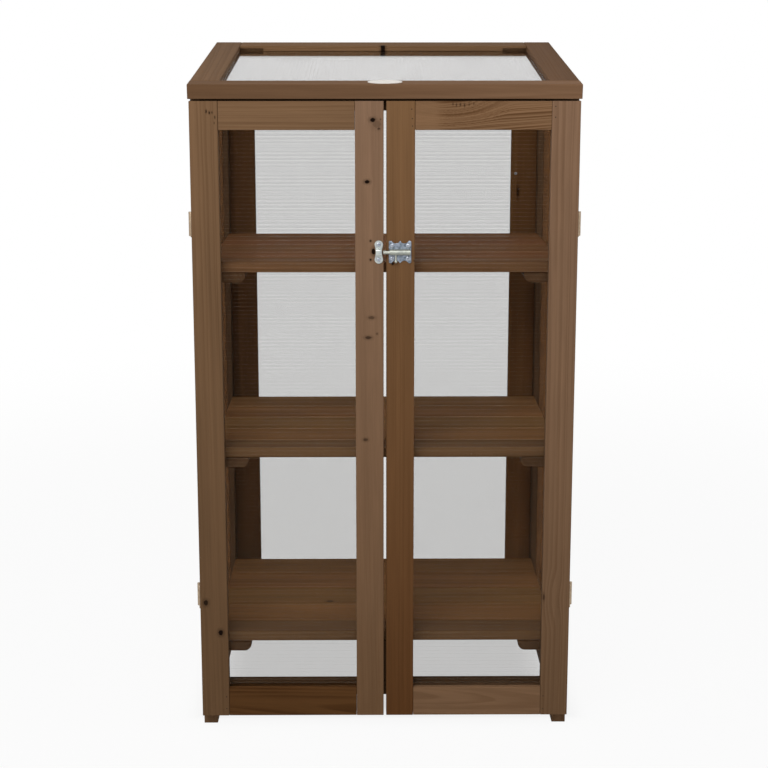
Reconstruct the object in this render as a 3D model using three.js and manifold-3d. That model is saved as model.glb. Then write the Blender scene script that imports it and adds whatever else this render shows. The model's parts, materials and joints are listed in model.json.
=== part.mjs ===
// A wooden mini greenhouse: a tall glazed cabinet with two doors, three shelves and a sloping lid.
// Lengths are millimetres. X runs along the front, Y runs from the front to the back and Z is up.
// Places are counted from the doors' front faces (Y), the middle of the cabinet (X) and the ground (Z).
import * as THREE from "three";
import { mergeVertices } from "three/addons/utils/BufferGeometryUtils.js";
import Module from "manifold-3d";

const wasm = await Module();
wasm.setup();

// Driving dimensions
const cabinet = {
  width: 584, // over the outer faces of the side frames
  depth: 404, // over the side frames, from the front posts to the back posts
};

const timber = {
  postWidth: 42, // the posts' wide faces, along Y
  postThickness: 22, // the side frames' thickness, along X
  sideRailHeight: 44,
  backThickness: 20,
  backStileWidth: 44,
  backRailHeight: 44,
  ease: 1, // the planed corner of every bar
};

const fits = {
  joint: 0.3, // between glued or screwed pieces
  lidSeat: 0.5, // between the lid and the frame that it rests on
  doorBack: 1, // between the doors and the posts behind them
  doorTop: 2.8, // between the doors' tops and the lid
  cutOverrun: 2, // how far a cutting shape runs past what it cuts
};

const doors = {
  height: 975,
  groundClearance: 22, // the posts reach below the doors as feet
  thickness: 20,
  centreGap: 4,
  stileWidth: 43,
  topRailHeight: 43,
  bottomRailHeight: 47,
  sheetInset: 9, // the sheet's front face behind the door's front face
};

const sheets = {
  thickness: 4,
  grip: 7.5, // how far a sheet reaches into its grooves
  grooveSlack: 0.5, // what the groove is deeper than the grip
  clearance: 0.3, // on each face of the sheet
};

const lid = {
  sideOverhang: 1.5, // past the cabinet's outer faces
  length: 468, // along the slope
  thickness: 22,
  sideRailWidth: 45,
  frontRailWidth: 38,
  backRailWidth: 48,
  frontOverhang: 1.2, // the lower front edge before the doors' front faces
  sheetHeight: 9, // the sheet's underside above the lid's underside
  notchLength: 40, // the shallow notches at the ends of the back rail
  notchHeight: 4.5,
  notchDepth: 9,
};
const roofPitch = THREE.MathUtils.degToRad(7.3);

const badge = { width: 52, length: 30, thickness: 1, segments: 40 };

const shelves = {
  thickness: 16,
  setback: 25, // the front edge behind the doors' front faces
  boardWidths: [48, 76, 76, 76, 76], // front board first
  boardJoint: 1.2, // the width of the line between two boards
  boardJointDepth: 2.5,
  heights: { top: 752, middle: 459, bottom: 155 }, // the decks' upper faces
};

const bearers = { width: 56, thickness: 15, chamfer: 7 };

const battens = {
  depth: 18,
  topDrop: 15.2, // the upper batten reaches below the doors' tops by this
  bottomHeight: 24,
  bottomLift: 26, // the lower batten's underside above the doors' bottoms
  stopBlockWidth: 70,
};

const doorHinge = {
  length: 37,
  knuckleRadius: 2.9,
  pinRadius: 1.5,
  pinClearance: 0.3,
  leafThickness: 1.4,
  movingLeafWidth: 17,
  fixedLeafWidth: 24,
  heights: { upper: 811.5, lower: 220 },
};

const lidHinge = {
  length: 50,
  knuckleRadius: 2.9,
  pinRadius: 1.5,
  pinClearance: 0.3,
  leafThickness: 1.4,
  movingLeafWidth: 24,
  fixedLeafWidth: 26,
  inset: 142, // each hinge's middle from the cabinet's outer face
};

const hingeKnuckleShare = 1 / 3; // each end knuckle's share of the hinge's length

const bolt = {
  height: 771, // the rod's centre line above the ground
  standOff: 5.1, // the rod's centre line before the plates' backs
  plateThickness: 1.2,
  plateStart: 5.8, // the plate's left edge from the middle of the cabinet
  plateWidth: 34,
  plateHeight: 34,
  scallopDepth: 4.5,
  rodRadius: 3,
  rodClearance: 0.4,
  rodStart: -1.8, // the rod's tip from the middle of the cabinet
  rodLength: 28,
  barrelWall: 1.3,
  stemStart: 16.4, // the stem from the middle of the cabinet
  stemRadius: 1.5,
  stemLength: 14,
  stemClearance: 0.5,
  beadRadius: 2.6,
  travelOut: 16,
  travelIn: 6,
};

const keeper = {
  end: -2.9, // the right edge from the middle of the cabinet
  width: 13,
  height: 35,
  strapWall: 1.3,
  strapClearance: 0.9,
};

const facets = { knuckle: 20, rod: 20, bead: 12, outline: 6 };

const sides = [
  [-1, "left"],
  [1, "right"],
];

// Sizes that follow
const halfWidth = cabinet.width / 2;
const innerHalf = halfWidth - timber.postThickness;
const postFront = doors.thickness + fits.doorBack;
const cabinetBack = postFront + cabinet.depth;
const backFront = cabinetBack - timber.backThickness;
const doorTop = doors.groundClearance + doors.height;
const frameBottom = doors.groundClearance;

const doorHingeX = halfWidth + fits.joint + doorHinge.knuckleRadius;
const doorHingeY = doors.thickness + fits.doorBack / 2;

const lidHingeX = halfWidth - lidHinge.inset;
const lidHingeY = cabinetBack + fits.joint + lidHinge.knuckleRadius;
const lidUnderside = lidHinge.knuckleRadius + fits.joint;
const lidHingeZ = roofAt(lidHingeY) - lidUnderside / Math.cos(roofPitch);

const grooveReach = sheets.grip + sheets.grooveSlack;

// Finishes
const finishes = {
  wood: { color: 0x78583f, roughness: 0.62, metalness: 0 },
  insideWood: { color: 0x5f4230, roughness: 0.68, metalness: 0 },
  sheet: { color: 0xdfe3e4, roughness: 0.12, metalness: 0, transparent: true, opacity: 0.4 },
  zinc: { color: 0xb9bcc0, roughness: 0.35, metalness: 1 },
  hingeMetal: { color: 0xa98d74, roughness: 0.4, metalness: 1 },
  badge: { color: 0xf4f4f2, roughness: 0.35, metalness: 0 },
};

/** The height of the lid's underside at a distance behind the doors' front faces. */
function roofAt(y) {
  return doorTop + fits.doorTop + y * Math.tan(roofPitch);
}

/** A point or a size. */
function at(x, y, z) {
  return new THREE.Vector3(x, y, z);
}

/** Two values with the lower one first. */
function ordered(a, b) {
  return [Math.min(a, b), Math.max(a, b)];
}

/** A closed geometry as a solid that can be cut and joined. */
function solidOf(geometry) {
  const bare = geometry.clone();
  bare.deleteAttribute("normal");
  bare.deleteAttribute("uv");
  const merged = mergeVertices(bare);
  const vertProperties = Float32Array.from(merged.attributes.position.array);
  const triVerts = Uint32Array.from(merged.index.array);
  return new wasm.Manifold(new wasm.Mesh({ numProp: 3, vertProperties, triVerts }));
}

/** A cut or joined solid as a geometry. */
function geometryOf(solid) {
  const { vertProperties, triVerts } = solid.getMesh();
  const geometry = new THREE.BufferGeometry();
  geometry.setAttribute("position", new THREE.BufferAttribute(vertProperties, 3));
  geometry.setIndex(new THREE.BufferAttribute(triVerts, 1));
  geometry.computeVertexNormals();
  return geometry;
}

/** A named mesh in its own finish, at a place in its group. */
function piece(name, geometry, finish, place = at(0, 0, 0)) {
  const mesh = new THREE.Mesh(geometry, new THREE.MeshStandardMaterial(finish));
  mesh.name = name;
  mesh.position.copy(place);
  return mesh;
}

/** The axes of an outline drawn across a bar that runs along x, y or z. */
const barTurns = {
  x: new THREE.Matrix4().makeBasis(at(0, 1, 0), at(0, 0, 1), at(1, 0, 0)),
  y: new THREE.Matrix4().makeBasis(at(0, 0, 1), at(1, 0, 0), at(0, 1, 0)),
  z: new THREE.Matrix4(),
};

/** An outline in the plane across an axis, pushed along that axis. */
function pushed(along, outline, length, curveSegments = facets.outline) {
  const geometry = new THREE.ExtrudeGeometry(outline, { depth: length, bevelEnabled: false, curveSegments });
  return geometry.applyMatrix4(barTurns[along]);
}

/** A rectangle whose corners are planed off. */
function easedRectangle(width, height, ease) {
  return new THREE.Shape([
    new THREE.Vector2(ease, 0),
    new THREE.Vector2(width - ease, 0),
    new THREE.Vector2(width, ease),
    new THREE.Vector2(width, height - ease),
    new THREE.Vector2(width - ease, height),
    new THREE.Vector2(ease, height),
    new THREE.Vector2(0, height - ease),
    new THREE.Vector2(0, ease),
  ]);
}

/** A planed bar between two corners, running along x, y or z. */
function bar(along, low, high) {
  const size = high.clone().sub(low);
  const sections = { x: [size.y, size.z, size.x], y: [size.z, size.x, size.y], z: [size.x, size.y, size.z] };
  const [width, height, length] = sections[along];
  return pushed(along, easedRectangle(width, height, timber.ease), length).translate(low.x, low.y, low.z);
}

/** A plain block between two corners. */
function block(low, high) {
  const size = high.clone().sub(low);
  const middle = high.clone().add(low).divideScalar(2);
  return new THREE.BoxGeometry(size.x, size.y, size.z).translate(middle.x, middle.y, middle.z);
}

/** A flat shape drawn in the plane of Y and Z, as [y, z] points, between two places along X. */
function slab(points, low, high) {
  const outline = new THREE.Shape(points.map(([y, z]) => new THREE.Vector2(y, z)));
  return pushed("x", outline, high - low).translate(low, 0, 0);
}

/** A piece whose geometry is counted from its own lowest corner, with any cuts made. */
function cutPiece(name, geometry, finish, cutters = []) {
  let shape = geometry;
  if (cutters.length) {
    const cut = cutters.reduce((solid, cutter) => solid.subtract(solidOf(cutter)), solidOf(geometry));
    shape = geometryOf(cut);
  }
  shape.computeBoundingBox();
  const corner = shape.boundingBox.min.clone();
  return piece(name, shape.translate(-corner.x, -corner.y, -corner.z), finish, corner);
}

/** The space above the lid's seat, which the frame's tops are cut back to. */
function aboveRoof(low, high) {
  const [front, back] = [postFront - fits.cutOverrun, cabinetBack + fits.cutOverrun];
  const lift = lid.thickness + lid.length;
  return slab(
    [
      [front, roofAt(front) - fits.lidSeat],
      [back, roofAt(back) - fits.lidSeat],
      [back, roofAt(back) + lift],
      [front, roofAt(front) + lift],
    ],
    low - fits.cutOverrun,
    high + fits.cutOverrun,
  );
}

// The side frames

/** The corners of a side sheet in Y and Z, reaching into its frame by a given amount. */
function sideSheetOutline(reach) {
  const front = postFront + timber.postWidth - reach;
  const back = cabinetBack - timber.postWidth + reach;
  const low = frameBottom + timber.sideRailHeight - reach;
  const drop = fits.lidSeat + timber.sideRailHeight / Math.cos(roofPitch) - reach;
  return [
    [front, low],
    [back, low],
    [back, roofAt(back) - drop],
    [front, roofAt(front) - drop],
  ];
}

/** The places along X of a side sheet's two faces, with a clearance on each. */
function sideSheetFaces(side, clearance) {
  const middle = side * (halfWidth - timber.postThickness / 2);
  const half = sheets.thickness / 2 + clearance;
  return [middle - half, middle + half];
}

/** One side: two posts, two rails and the sheet between them. */
function makeSideFrame(side, sideName) {
  const frame = new THREE.Group();
  const [low, high] = ordered(side * innerHalf, side * halfWidth);
  const groove = slab(sideSheetOutline(grooveReach), ...sideSheetFaces(side, sheets.clearance));
  const above = aboveRoof(low, high);
  const tall = roofAt(cabinetBack);

  const posts = { front: postFront, back: cabinetBack - timber.postWidth };
  for (const [place, y] of Object.entries(posts)) {
    const post = bar("z", at(low, y, 0), at(high, y + timber.postWidth, tall));
    frame.add(cutPiece(`${place}_${sideName}_post`, post, finishes.wood, [groove, above]));
  }

  const railFront = postFront + timber.postWidth + fits.joint;
  const railBack = cabinetBack - timber.postWidth - fits.joint;
  const bottomRailTop = frameBottom + timber.sideRailHeight;
  const bottomRail = bar("y", at(low, railFront, frameBottom), at(high, railBack, bottomRailTop));
  frame.add(cutPiece(`${sideName}_side_bottom_rail`, bottomRail, finishes.wood, [groove]));

  const drop = fits.lidSeat + timber.sideRailHeight / Math.cos(roofPitch);
  const topRail = slab(
    [
      [railFront, roofAt(railFront) - drop],
      [railBack, roofAt(railBack) - drop],
      [railBack, roofAt(railBack) - fits.lidSeat],
      [railFront, roofAt(railFront) - fits.lidSeat],
    ],
    low,
    high,
  );
  frame.add(cutPiece(`${sideName}_side_top_rail`, topRail, finishes.wood, [groove]));

  const sheet = slab(sideSheetOutline(sheets.grip), ...sideSheetFaces(side, 0));
  frame.add(cutPiece(`${sideName}_side_sheet`, sheet, finishes.sheet));
  return frame;
}

// The back frame

/** The back: two stiles, two rails and the sheet between them, set between the back posts. */
function makeBackFrame() {
  const frame = new THREE.Group();
  const outer = innerHalf - fits.joint;
  const inner = outer - timber.backStileWidth;
  const top = roofAt(backFront) - fits.lidSeat;
  const bottom = frameBottom;
  const sheetTop = top - timber.backRailHeight;
  const sheetBottom = bottom + timber.backRailHeight;
  const middle = backFront + timber.backThickness / 2;

  const sheetBox = (reach, clearance) => {
    const half = sheets.thickness / 2 + clearance;
    return block(
      at(-inner - reach, middle - half, sheetBottom - reach),
      at(inner + reach, middle + half, sheetTop + reach),
    );
  };
  const groove = sheetBox(grooveReach, sheets.clearance);

  for (const [side, sideName] of sides) {
    const [low, high] = ordered(side * inner, side * outer);
    const stile = bar("z", at(low, backFront, bottom), at(high, cabinetBack, top));
    frame.add(cutPiece(`back_${sideName}_stile`, stile, finishes.insideWood, [groove]));
  }

  const rails = { top: [sheetTop, top], bottom: [bottom, sheetBottom] };
  for (const [place, [low, high]] of Object.entries(rails)) {
    const reach = inner - fits.joint;
    const rail = bar("x", at(-reach, backFront, low), at(reach, cabinetBack, high));
    frame.add(cutPiece(`back_${place}_rail`, rail, finishes.insideWood, [groove]));
  }

  frame.add(cutPiece("back_sheet", sheetBox(sheets.grip, 0), finishes.sheet));
  return frame;
}

// The front battens that the doors close against

/** The upper and lower battens between the front posts, and the block that the doors meet on. */
function makeFrontBattens() {
  const group = new THREE.Group();
  const reach = innerHalf - fits.joint;
  const back = postFront + battens.depth;

  const topLow = doorTop - battens.topDrop;
  const topHigh = roofAt(postFront) - fits.lidSeat;
  const top = bar("x", at(-reach, postFront, topLow), at(reach, back, topHigh));
  group.add(cutPiece("front_top_batten", top, finishes.wood));

  const bottomLow = doors.groundClearance + battens.bottomLift;
  const bottomHigh = bottomLow + battens.bottomHeight;
  const bottom = bar("x", at(-reach, postFront, bottomLow), at(reach, back, bottomHigh));
  group.add(cutPiece("front_bottom_batten", bottom, finishes.wood));

  const half = battens.stopBlockWidth / 2;
  const blockTop = shelves.heights.bottom - shelves.thickness - fits.joint;
  const stop = bar("z", at(-half, postFront, bottomHigh + fits.joint), at(half, back, blockTop));
  group.add(cutPiece("door_stop_block", stop, finishes.insideWood));
  return group;
}

// The shelves

/** The outline across a deck: boards side by side with a fine line between them, front board first. */
function deckOutline() {
  const { thickness, boardWidths, boardJoint, boardJointDepth } = shelves;
  const ease = timber.ease;
  const half = boardJoint / 2;
  const line = [[-half - ease, 0], [-half, boardJointDepth], [half, boardJointDepth], [half + ease, 0]];
  const under = [[ease, 0]];
  let depth = 0;
  for (const [index, width] of boardWidths.entries()) {
    if (index > 0) {
      const place = depth;
      under.push(...line.map(([across, up]) => [place + across, up]));
    }
    depth += width;
  }
  under.push([depth - ease, 0]);
  const over = under.map(([across, up]) => [across, thickness - up]).reverse();
  return [...under, [depth, ease], [depth, thickness - ease], ...over, [0, thickness - ease], [0, ease]];
}

/** The outline across a bearer, with its lower inner corner taken off. */
function bearerOutline(side) {
  const { width, thickness, chamfer } = bearers;
  const ease = timber.ease;
  const outer = innerHalf - fits.joint;
  const inner = outer - width;
  const points = [
    [outer - ease, 0],
    [outer, ease],
    [outer, thickness - ease],
    [outer - ease, thickness],
    [inner + ease, thickness],
    [inner, thickness - ease],
    [inner, chamfer],
    [inner + chamfer, 0],
  ];
  const placed = points.map(([x, z]) => new THREE.Vector2(z, side * x));
  return new THREE.Shape(side > 0 ? placed.reverse() : placed);
}

/** One shelf: its deck, and the two bearers that carry it between the posts. */
function makeShelf(shelfName, height) {
  const shelf = new THREE.Group();
  const low = height - shelves.thickness;
  const reach = innerHalf - fits.joint;
  const deck = slab(deckOutline(), -reach, reach);
  deck.translate(0, shelves.setback, low);
  shelf.add(cutPiece(`${shelfName}_shelf_deck`, deck, finishes.wood));

  const front = postFront + fits.joint;
  const length = backFront - fits.joint - front;
  for (const [side, sideName] of sides) {
    const bearer = pushed("y", bearerOutline(side), length);
    bearer.translate(0, front, low - fits.joint - bearers.thickness);
    shelf.add(cutPiece(`${shelfName}_shelf_${sideName}_bearer`, bearer, finishes.insideWood));
  }
  return shelf;
}

// Hinges

/** A round bar along Z about the origin, between two heights. */
function rod(radius, low, high, segments = facets.knuckle) {
  const geometry = new THREE.CylinderGeometry(radius, radius, high - low, segments);
  return geometry.rotateX(Math.PI / 2).translate(0, 0, (high + low) / 2);
}

/** The stretches of a hinge that its end knuckles and its middle knuckle fill. */
function knuckleStretches(hinge, moving) {
  const half = hinge.length / 2;
  const edge = half - hinge.length * hingeKnuckleShare;
  const slack = fits.joint / 2;
  const ends = [
    [-half, -edge - slack],
    [edge + slack, half],
  ];
  return moving ? [[-edge + slack, edge - slack]] : ends;
}

/** One leaf, with its pin along Z, its plate along X and the wood that carries it on the side of -Y. */
function hingeLeaf(hinge, moving) {
  const half = hinge.length / 2;
  const reach = moving ? hinge.movingLeafWidth : hinge.fixedLeafWidth;
  const back = -hinge.knuckleRadius;
  const face = back + hinge.leafThickness;
  const clear = hinge.knuckleRadius + hinge.pinClearance;
  let leaf = solidOf(block(at(clear, back, -half), at(reach, face, half)));
  for (const [low, high] of knuckleStretches(hinge, moving)) {
    leaf = leaf.add(solidOf(block(at(0, back, low), at(clear + hinge.leafThickness, face, high))));
    leaf = leaf.add(solidOf(rod(hinge.knuckleRadius, low, high)));
  }
  if (moving) {
    const bore = rod(hinge.pinRadius + hinge.pinClearance, -half - fits.cutOverrun, half + fits.cutOverrun);
    return geometryOf(leaf.subtract(solidOf(bore)));
  }
  return geometryOf(leaf.add(solidOf(rod(hinge.pinRadius, -half, half))));
}

/** A leaf placed with its pin at a point, its plate running one way and its wood facing another. */
function placedLeaf(name, hinge, moving, pin, plateWay, awayFromWood) {
  const leaf = piece(name, hingeLeaf(hinge, moving), finishes.hingeMetal, pin);
  const pinWay = plateWay.clone().cross(awayFromWood);
  leaf.quaternion.setFromRotationMatrix(new THREE.Matrix4().makeBasis(plateWay, awayFromWood, pinWay));
  return leaf;
}

/** The fixed leaves of one door's hinges, on the outer face of its post. */
function makeDoorHingePosts(side, sideName) {
  const group = new THREE.Group();
  for (const [place, height] of Object.entries(doorHinge.heights)) {
    const pin = at(side * doorHingeX, doorHingeY, height);
    const name = `${sideName}_door_${place}_hinge_post_leaf`;
    group.add(placedLeaf(name, doorHinge, false, pin, at(0, 1, 0), at(side, 0, 0)));
  }
  return group;
}

// The doors

/** One door in its own group, which turns about the hinge line at the group's origin. */
function makeDoor(side, sideName) {
  const door = new THREE.Group();
  door.position.set(side * doorHingeX, doorHingeY, 0);
  const inward = (distance) => -side * distance;
  const edge = doorHinge.knuckleRadius + fits.joint;
  const meeting = doorHingeX - doors.centreGap / 2;
  const front = -doorHingeY;
  const back = front + doors.thickness;
  const [bottom, top] = [doors.groundClearance, doorTop];
  const opening = {
    outer: edge + doors.stileWidth,
    inner: meeting - doors.stileWidth,
    low: bottom + doors.bottomRailHeight,
    high: top - doors.topRailHeight,
  };

  const sheetBox = (reach, clearance) => {
    const [low, high] = ordered(inward(opening.outer - reach), inward(opening.inner + reach));
    const face = front + doors.sheetInset;
    return block(
      at(low, face - clearance, opening.low - reach),
      at(high, face + sheets.thickness + clearance, opening.high + reach),
    );
  };
  const groove = sheetBox(grooveReach, sheets.clearance);

  const stiles = { hinge: [edge, opening.outer], meeting: [opening.inner, meeting] };
  for (const [place, [near, far]] of Object.entries(stiles)) {
    const [low, high] = ordered(inward(near), inward(far));
    const stile = bar("z", at(low, front, bottom), at(high, back, top));
    door.add(cutPiece(`${sideName}_door_${place}_stile`, stile, finishes.wood, [groove]));
  }

  const rails = { top: [opening.high, top], bottom: [bottom, opening.low] };
  for (const [place, [railLow, railHigh]] of Object.entries(rails)) {
    const [low, high] = ordered(inward(opening.outer + fits.joint), inward(opening.inner - fits.joint));
    const rail = bar("x", at(low, front, railLow), at(high, back, railHigh));
    door.add(cutPiece(`${sideName}_door_${place}_rail`, rail, finishes.wood, [groove]));
  }

  door.add(cutPiece(`${sideName}_door_sheet`, sheetBox(sheets.grip, 0), finishes.sheet));

  for (const [place, height] of Object.entries(doorHinge.heights)) {
    const name = `${sideName}_door_${place}_hinge_door_leaf`;
    door.add(placedLeaf(name, doorHinge, true, at(0, 0, height), at(0, -1, 0), at(side, 0, 0)));
  }
  return door;
}

// The barrel bolt across the two doors

/** The bolt's plate with scalloped upper and lower edges, standing in the plane of X and Z. */
function boltPlateGeometry() {
  const { plateStart, plateWidth, plateHeight, scallopDepth, plateThickness } = bolt;
  const half = plateHeight / 2;
  const dip = half - 2 * scallopDepth;
  const [left, right] = [plateStart, plateStart + plateWidth];
  const middle = (left + right) / 2;
  const outline = new THREE.Shape();
  outline.moveTo(-half, left);
  outline.quadraticCurveTo(-dip, (left + middle) / 2, -half, middle);
  outline.quadraticCurveTo(-dip, (middle + right) / 2, -half, right);
  outline.lineTo(half, right);
  outline.quadraticCurveTo(dip, (middle + right) / 2, half, middle);
  outline.quadraticCurveTo(dip, (left + middle) / 2, half, left);
  outline.closePath();
  return pushed("y", outline, plateThickness).translate(0, -plateThickness, 0);
}

/** The plate and the barrel that guides the rod, with the slot that the stem slides along. */
function makeBoltPlate() {
  const { plateStart, plateWidth, standOff, rodRadius, rodClearance, barrelWall, plateThickness } = bolt;
  const bore = rodRadius + rodClearance;
  const outer = bore + barrelWall;
  const [left, right] = [plateStart, plateStart + plateWidth];
  const barrelEnds = [left + barrelWall, right - barrelWall];
  const alongX = (radius, low, high) => rod(radius, low, high, facets.rod).rotateY(Math.PI / 2);

  const barrel = alongX(outer, ...barrelEnds).translate(0, -standOff, 0);
  const saddle = block(at(barrelEnds[0], -standOff, -outer), at(barrelEnds[1], -plateThickness / 2, outer));
  const hole = alongX(bore, left - fits.cutOverrun, right + fits.cutOverrun).translate(0, -standOff, 0);
  const halfSlot = bolt.stemRadius + bolt.stemClearance;
  const slot = block(
    at(bolt.stemStart - bolt.travelIn - halfSlot, -standOff - halfSlot, -outer - fits.cutOverrun),
    at(bolt.stemStart + bolt.travelOut + halfSlot, -standOff + halfSlot, -bolt.stemRadius),
  );
  const plate = solidOf(boltPlateGeometry())
    .add(solidOf(barrel))
    .add(solidOf(saddle))
    .subtract(solidOf(hole))
    .subtract(solidOf(slot));
  return piece("bolt_plate", geometryOf(plate), finishes.zinc);
}

/** The sliding rod with its stem and bead, joined as one turned and bent bar. */
function makeBoltRod() {
  const { rodStart, rodLength, rodRadius, standOff, stemStart, stemRadius, stemLength, beadRadius } = bolt;
  const shaft = rod(rodRadius, rodStart, rodStart + rodLength, facets.rod).rotateY(Math.PI / 2);
  const stem = rod(stemRadius, -stemLength, 0, facets.bead).translate(stemStart, 0, 0);
  const bead = new THREE.SphereGeometry(beadRadius, facets.bead, facets.bead / 2);
  bead.translate(stemStart, 0, -stemLength);
  const whole = solidOf(shaft).add(solidOf(stem)).add(solidOf(bead));
  return piece("bolt_rod", geometryOf(whole), finishes.zinc, at(0, -standOff, 0));
}

/** The keeper on the other door: a plate with round ends and a raised strap that the rod enters. */
function makeKeeper() {
  const { end, width, height, strapWall, strapClearance } = keeper;
  const half = height / 2;
  const ends = width / 2;
  const middle = end - ends;
  const outline = new THREE.Shape();
  outline.absarc(half - ends, middle, ends, -Math.PI / 2, Math.PI / 2, false);
  outline.absarc(-half + ends, middle, ends, Math.PI / 2, Math.PI * 1.5, false);
  const plate = pushed("y", outline, bolt.plateThickness, facets.bead).translate(0, -bolt.plateThickness, 0);

  const passage = bolt.rodRadius + strapClearance;
  const outer = passage + strapWall;
  const front = -bolt.standOff - outer;
  const strap = block(at(end - width, front, -outer), at(end, -bolt.plateThickness / 2, outer));
  const way = block(
    at(end - width - fits.cutOverrun, -bolt.standOff - passage, -passage),
    at(end + fits.cutOverrun, -bolt.plateThickness, passage),
  );
  const whole = solidOf(plate).add(solidOf(strap)).subtract(solidOf(way));
  return piece("bolt_keeper", geometryOf(whole), finishes.zinc);
}

/** A piece of the bolt set on the front of a door, whose group stands at that door's hinge line. */
function onDoor(side, part) {
  part.position.add(at(-side * doorHingeX, -doorHingeY - fits.joint, bolt.height));
  return part;
}

// The lid

/** The lid in its own group, tilted by the roof's pitch, which turns about the group's origin. */
function makeLid() {
  const group = new THREE.Group();
  group.position.set(0, lidHingeY, lidHingeZ);
  group.rotation.x = roofPitch;
  const low = lidUnderside;
  const high = low + lid.thickness;
  const front = (-lid.frontOverhang - lidHingeY + low * Math.sin(roofPitch)) / Math.cos(roofPitch);
  const back = front + lid.length;
  const half = halfWidth + lid.sideOverhang;
  const inner = half - lid.sideRailWidth;
  const openFront = front + lid.frontRailWidth;
  const openBack = back - lid.backRailWidth;

  const sheetBox = (reach, clearance) =>
    block(
      at(-inner - reach, openFront - reach, low + lid.sheetHeight - clearance),
      at(inner + reach, openBack + reach, low + lid.sheetHeight + sheets.thickness + clearance),
    );
  const groove = sheetBox(grooveReach, sheets.clearance);

  const frontRail = bar("x", at(-half, front, low), at(half, openFront, high));
  group.add(cutPiece("lid_front_rail", frontRail, finishes.wood, [groove]));

  for (const [side, sideName] of sides) {
    const [near, far] = ordered(side * inner, side * half);
    const rail = bar("y", at(near, openFront + fits.joint, low), at(far, back, high));
    group.add(cutPiece(`lid_${sideName}_rail`, rail, finishes.wood, [groove]));
  }

  const reach = inner - fits.joint;
  const notches = sides.map(([side]) => {
    const [near, far] = ordered(side * (reach + fits.cutOverrun), side * (reach - lid.notchLength));
    const foot = low + lid.sheetHeight + sheets.thickness;
    const top = foot + lid.notchHeight;
    return block(at(near, openBack - fits.cutOverrun, foot), at(far, openBack + lid.notchDepth, top));
  });
  const backRail = bar("x", at(-reach, openBack, low), at(reach, back, high));
  group.add(cutPiece("lid_back_rail", backRail, finishes.wood, [groove, ...notches]));

  group.add(cutPiece("lid_sheet", sheetBox(sheets.grip, 0), finishes.sheet));

  const oval = new THREE.Shape();
  oval.absellipse(0, 0, badge.width / 2, badge.length / 2, 0, Math.PI * 2, false);
  const plate = pushed("z", oval, badge.thickness, badge.segments);
  const badgePlace = at(0, (front + openFront) / 2, high + fits.joint);
  group.add(piece("lid_oval_plate", plate, finishes.badge, badgePlace));

  for (const [side, sideName] of sides) {
    const pin = at(side * lidHingeX, 0, 0);
    group.add(placedLeaf(`lid_${sideName}_hinge_lid_leaf`, lidHinge, true, pin, at(0, 1, 0), at(0, 0, -1)));
  }
  return group;
}

/** The fixed leaves of the lid's hinges, on the back of the cabinet. */
function makeLidHingeBacks() {
  const group = new THREE.Group();
  for (const [side, sideName] of sides) {
    const pin = at(side * lidHingeX, lidHingeY, lidHingeZ);
    group.add(placedLeaf(`lid_${sideName}_hinge_back_leaf`, lidHinge, false, pin, at(0, 0, -1), at(0, 1, 0)));
  }
  return group;
}

// The whole greenhouse
const greenhouse = new THREE.Group();
for (const [side, sideName] of sides) {
  greenhouse.add(makeSideFrame(side, sideName), makeDoorHingePosts(side, sideName));
}
greenhouse.add(makeBackFrame(), makeFrontBattens(), makeLidHingeBacks());
for (const [shelfName, height] of Object.entries(shelves.heights)) {
  greenhouse.add(makeShelf(shelfName, height));
}

const leftDoor = makeDoor(-1, "left");
leftDoor.add(onDoor(-1, makeKeeper()));
const rightDoor = makeDoor(1, "right");
rightDoor.add(onDoor(1, makeBoltPlate()), onDoor(1, makeBoltRod()));
greenhouse.add(leftDoor, rightDoor, makeLid());

// The origin stands on the ground, under the middle of everything
greenhouse.updateMatrixWorld(true);
const reach = new THREE.Box3().setFromObject(greenhouse, true);
greenhouse.position.y = -(reach.min.y + reach.max.y) / 2;

export default greenhouse;
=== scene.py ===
"""The looks of a wooden mini greenhouse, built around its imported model.

Every plank, clear sheet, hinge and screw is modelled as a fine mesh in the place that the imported
model gives it, and rides on the body that carries it. All lengths are metres. X runs to the right,
Y runs from the front to the back and Z is up.
"""

import json
import logging
import math
import random
from dataclasses import dataclass, field, replace
from enum import Enum
from typing import Any, Iterable, Mapping, NamedTuple, Optional, Sequence, Union

import bmesh
import bpy
from mathutils import Matrix, Vector


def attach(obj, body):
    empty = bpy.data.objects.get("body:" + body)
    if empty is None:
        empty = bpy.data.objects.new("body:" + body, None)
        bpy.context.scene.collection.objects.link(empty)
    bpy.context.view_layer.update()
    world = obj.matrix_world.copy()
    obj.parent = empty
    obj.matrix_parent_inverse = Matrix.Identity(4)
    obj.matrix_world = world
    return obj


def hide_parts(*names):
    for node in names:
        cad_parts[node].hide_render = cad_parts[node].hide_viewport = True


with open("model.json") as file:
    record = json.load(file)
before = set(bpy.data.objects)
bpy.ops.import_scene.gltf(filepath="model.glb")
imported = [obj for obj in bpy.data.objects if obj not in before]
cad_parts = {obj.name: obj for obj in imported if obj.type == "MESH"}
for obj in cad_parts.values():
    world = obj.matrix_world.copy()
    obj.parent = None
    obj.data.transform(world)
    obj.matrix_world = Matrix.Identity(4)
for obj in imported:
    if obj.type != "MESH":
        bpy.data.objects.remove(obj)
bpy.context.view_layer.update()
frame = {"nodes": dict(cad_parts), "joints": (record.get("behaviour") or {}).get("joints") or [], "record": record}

LOG = logging.getLogger("mini_greenhouse")

Colour = tuple[float, float, float]
Box = tuple[Vector, Vector]

ROOF_PITCH = math.radians(7.3)
SMOOTH_ANGLE = math.radians(38)
ARC_STEPS = 3
FINE_ARC_STEPS = 5

# Below these, lengths count as none: heights on one rim, points to weld, slivers to drop
SAME_HEIGHT = 1e-7
WELD = 2e-6
SLIVER = 1e-6

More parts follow.
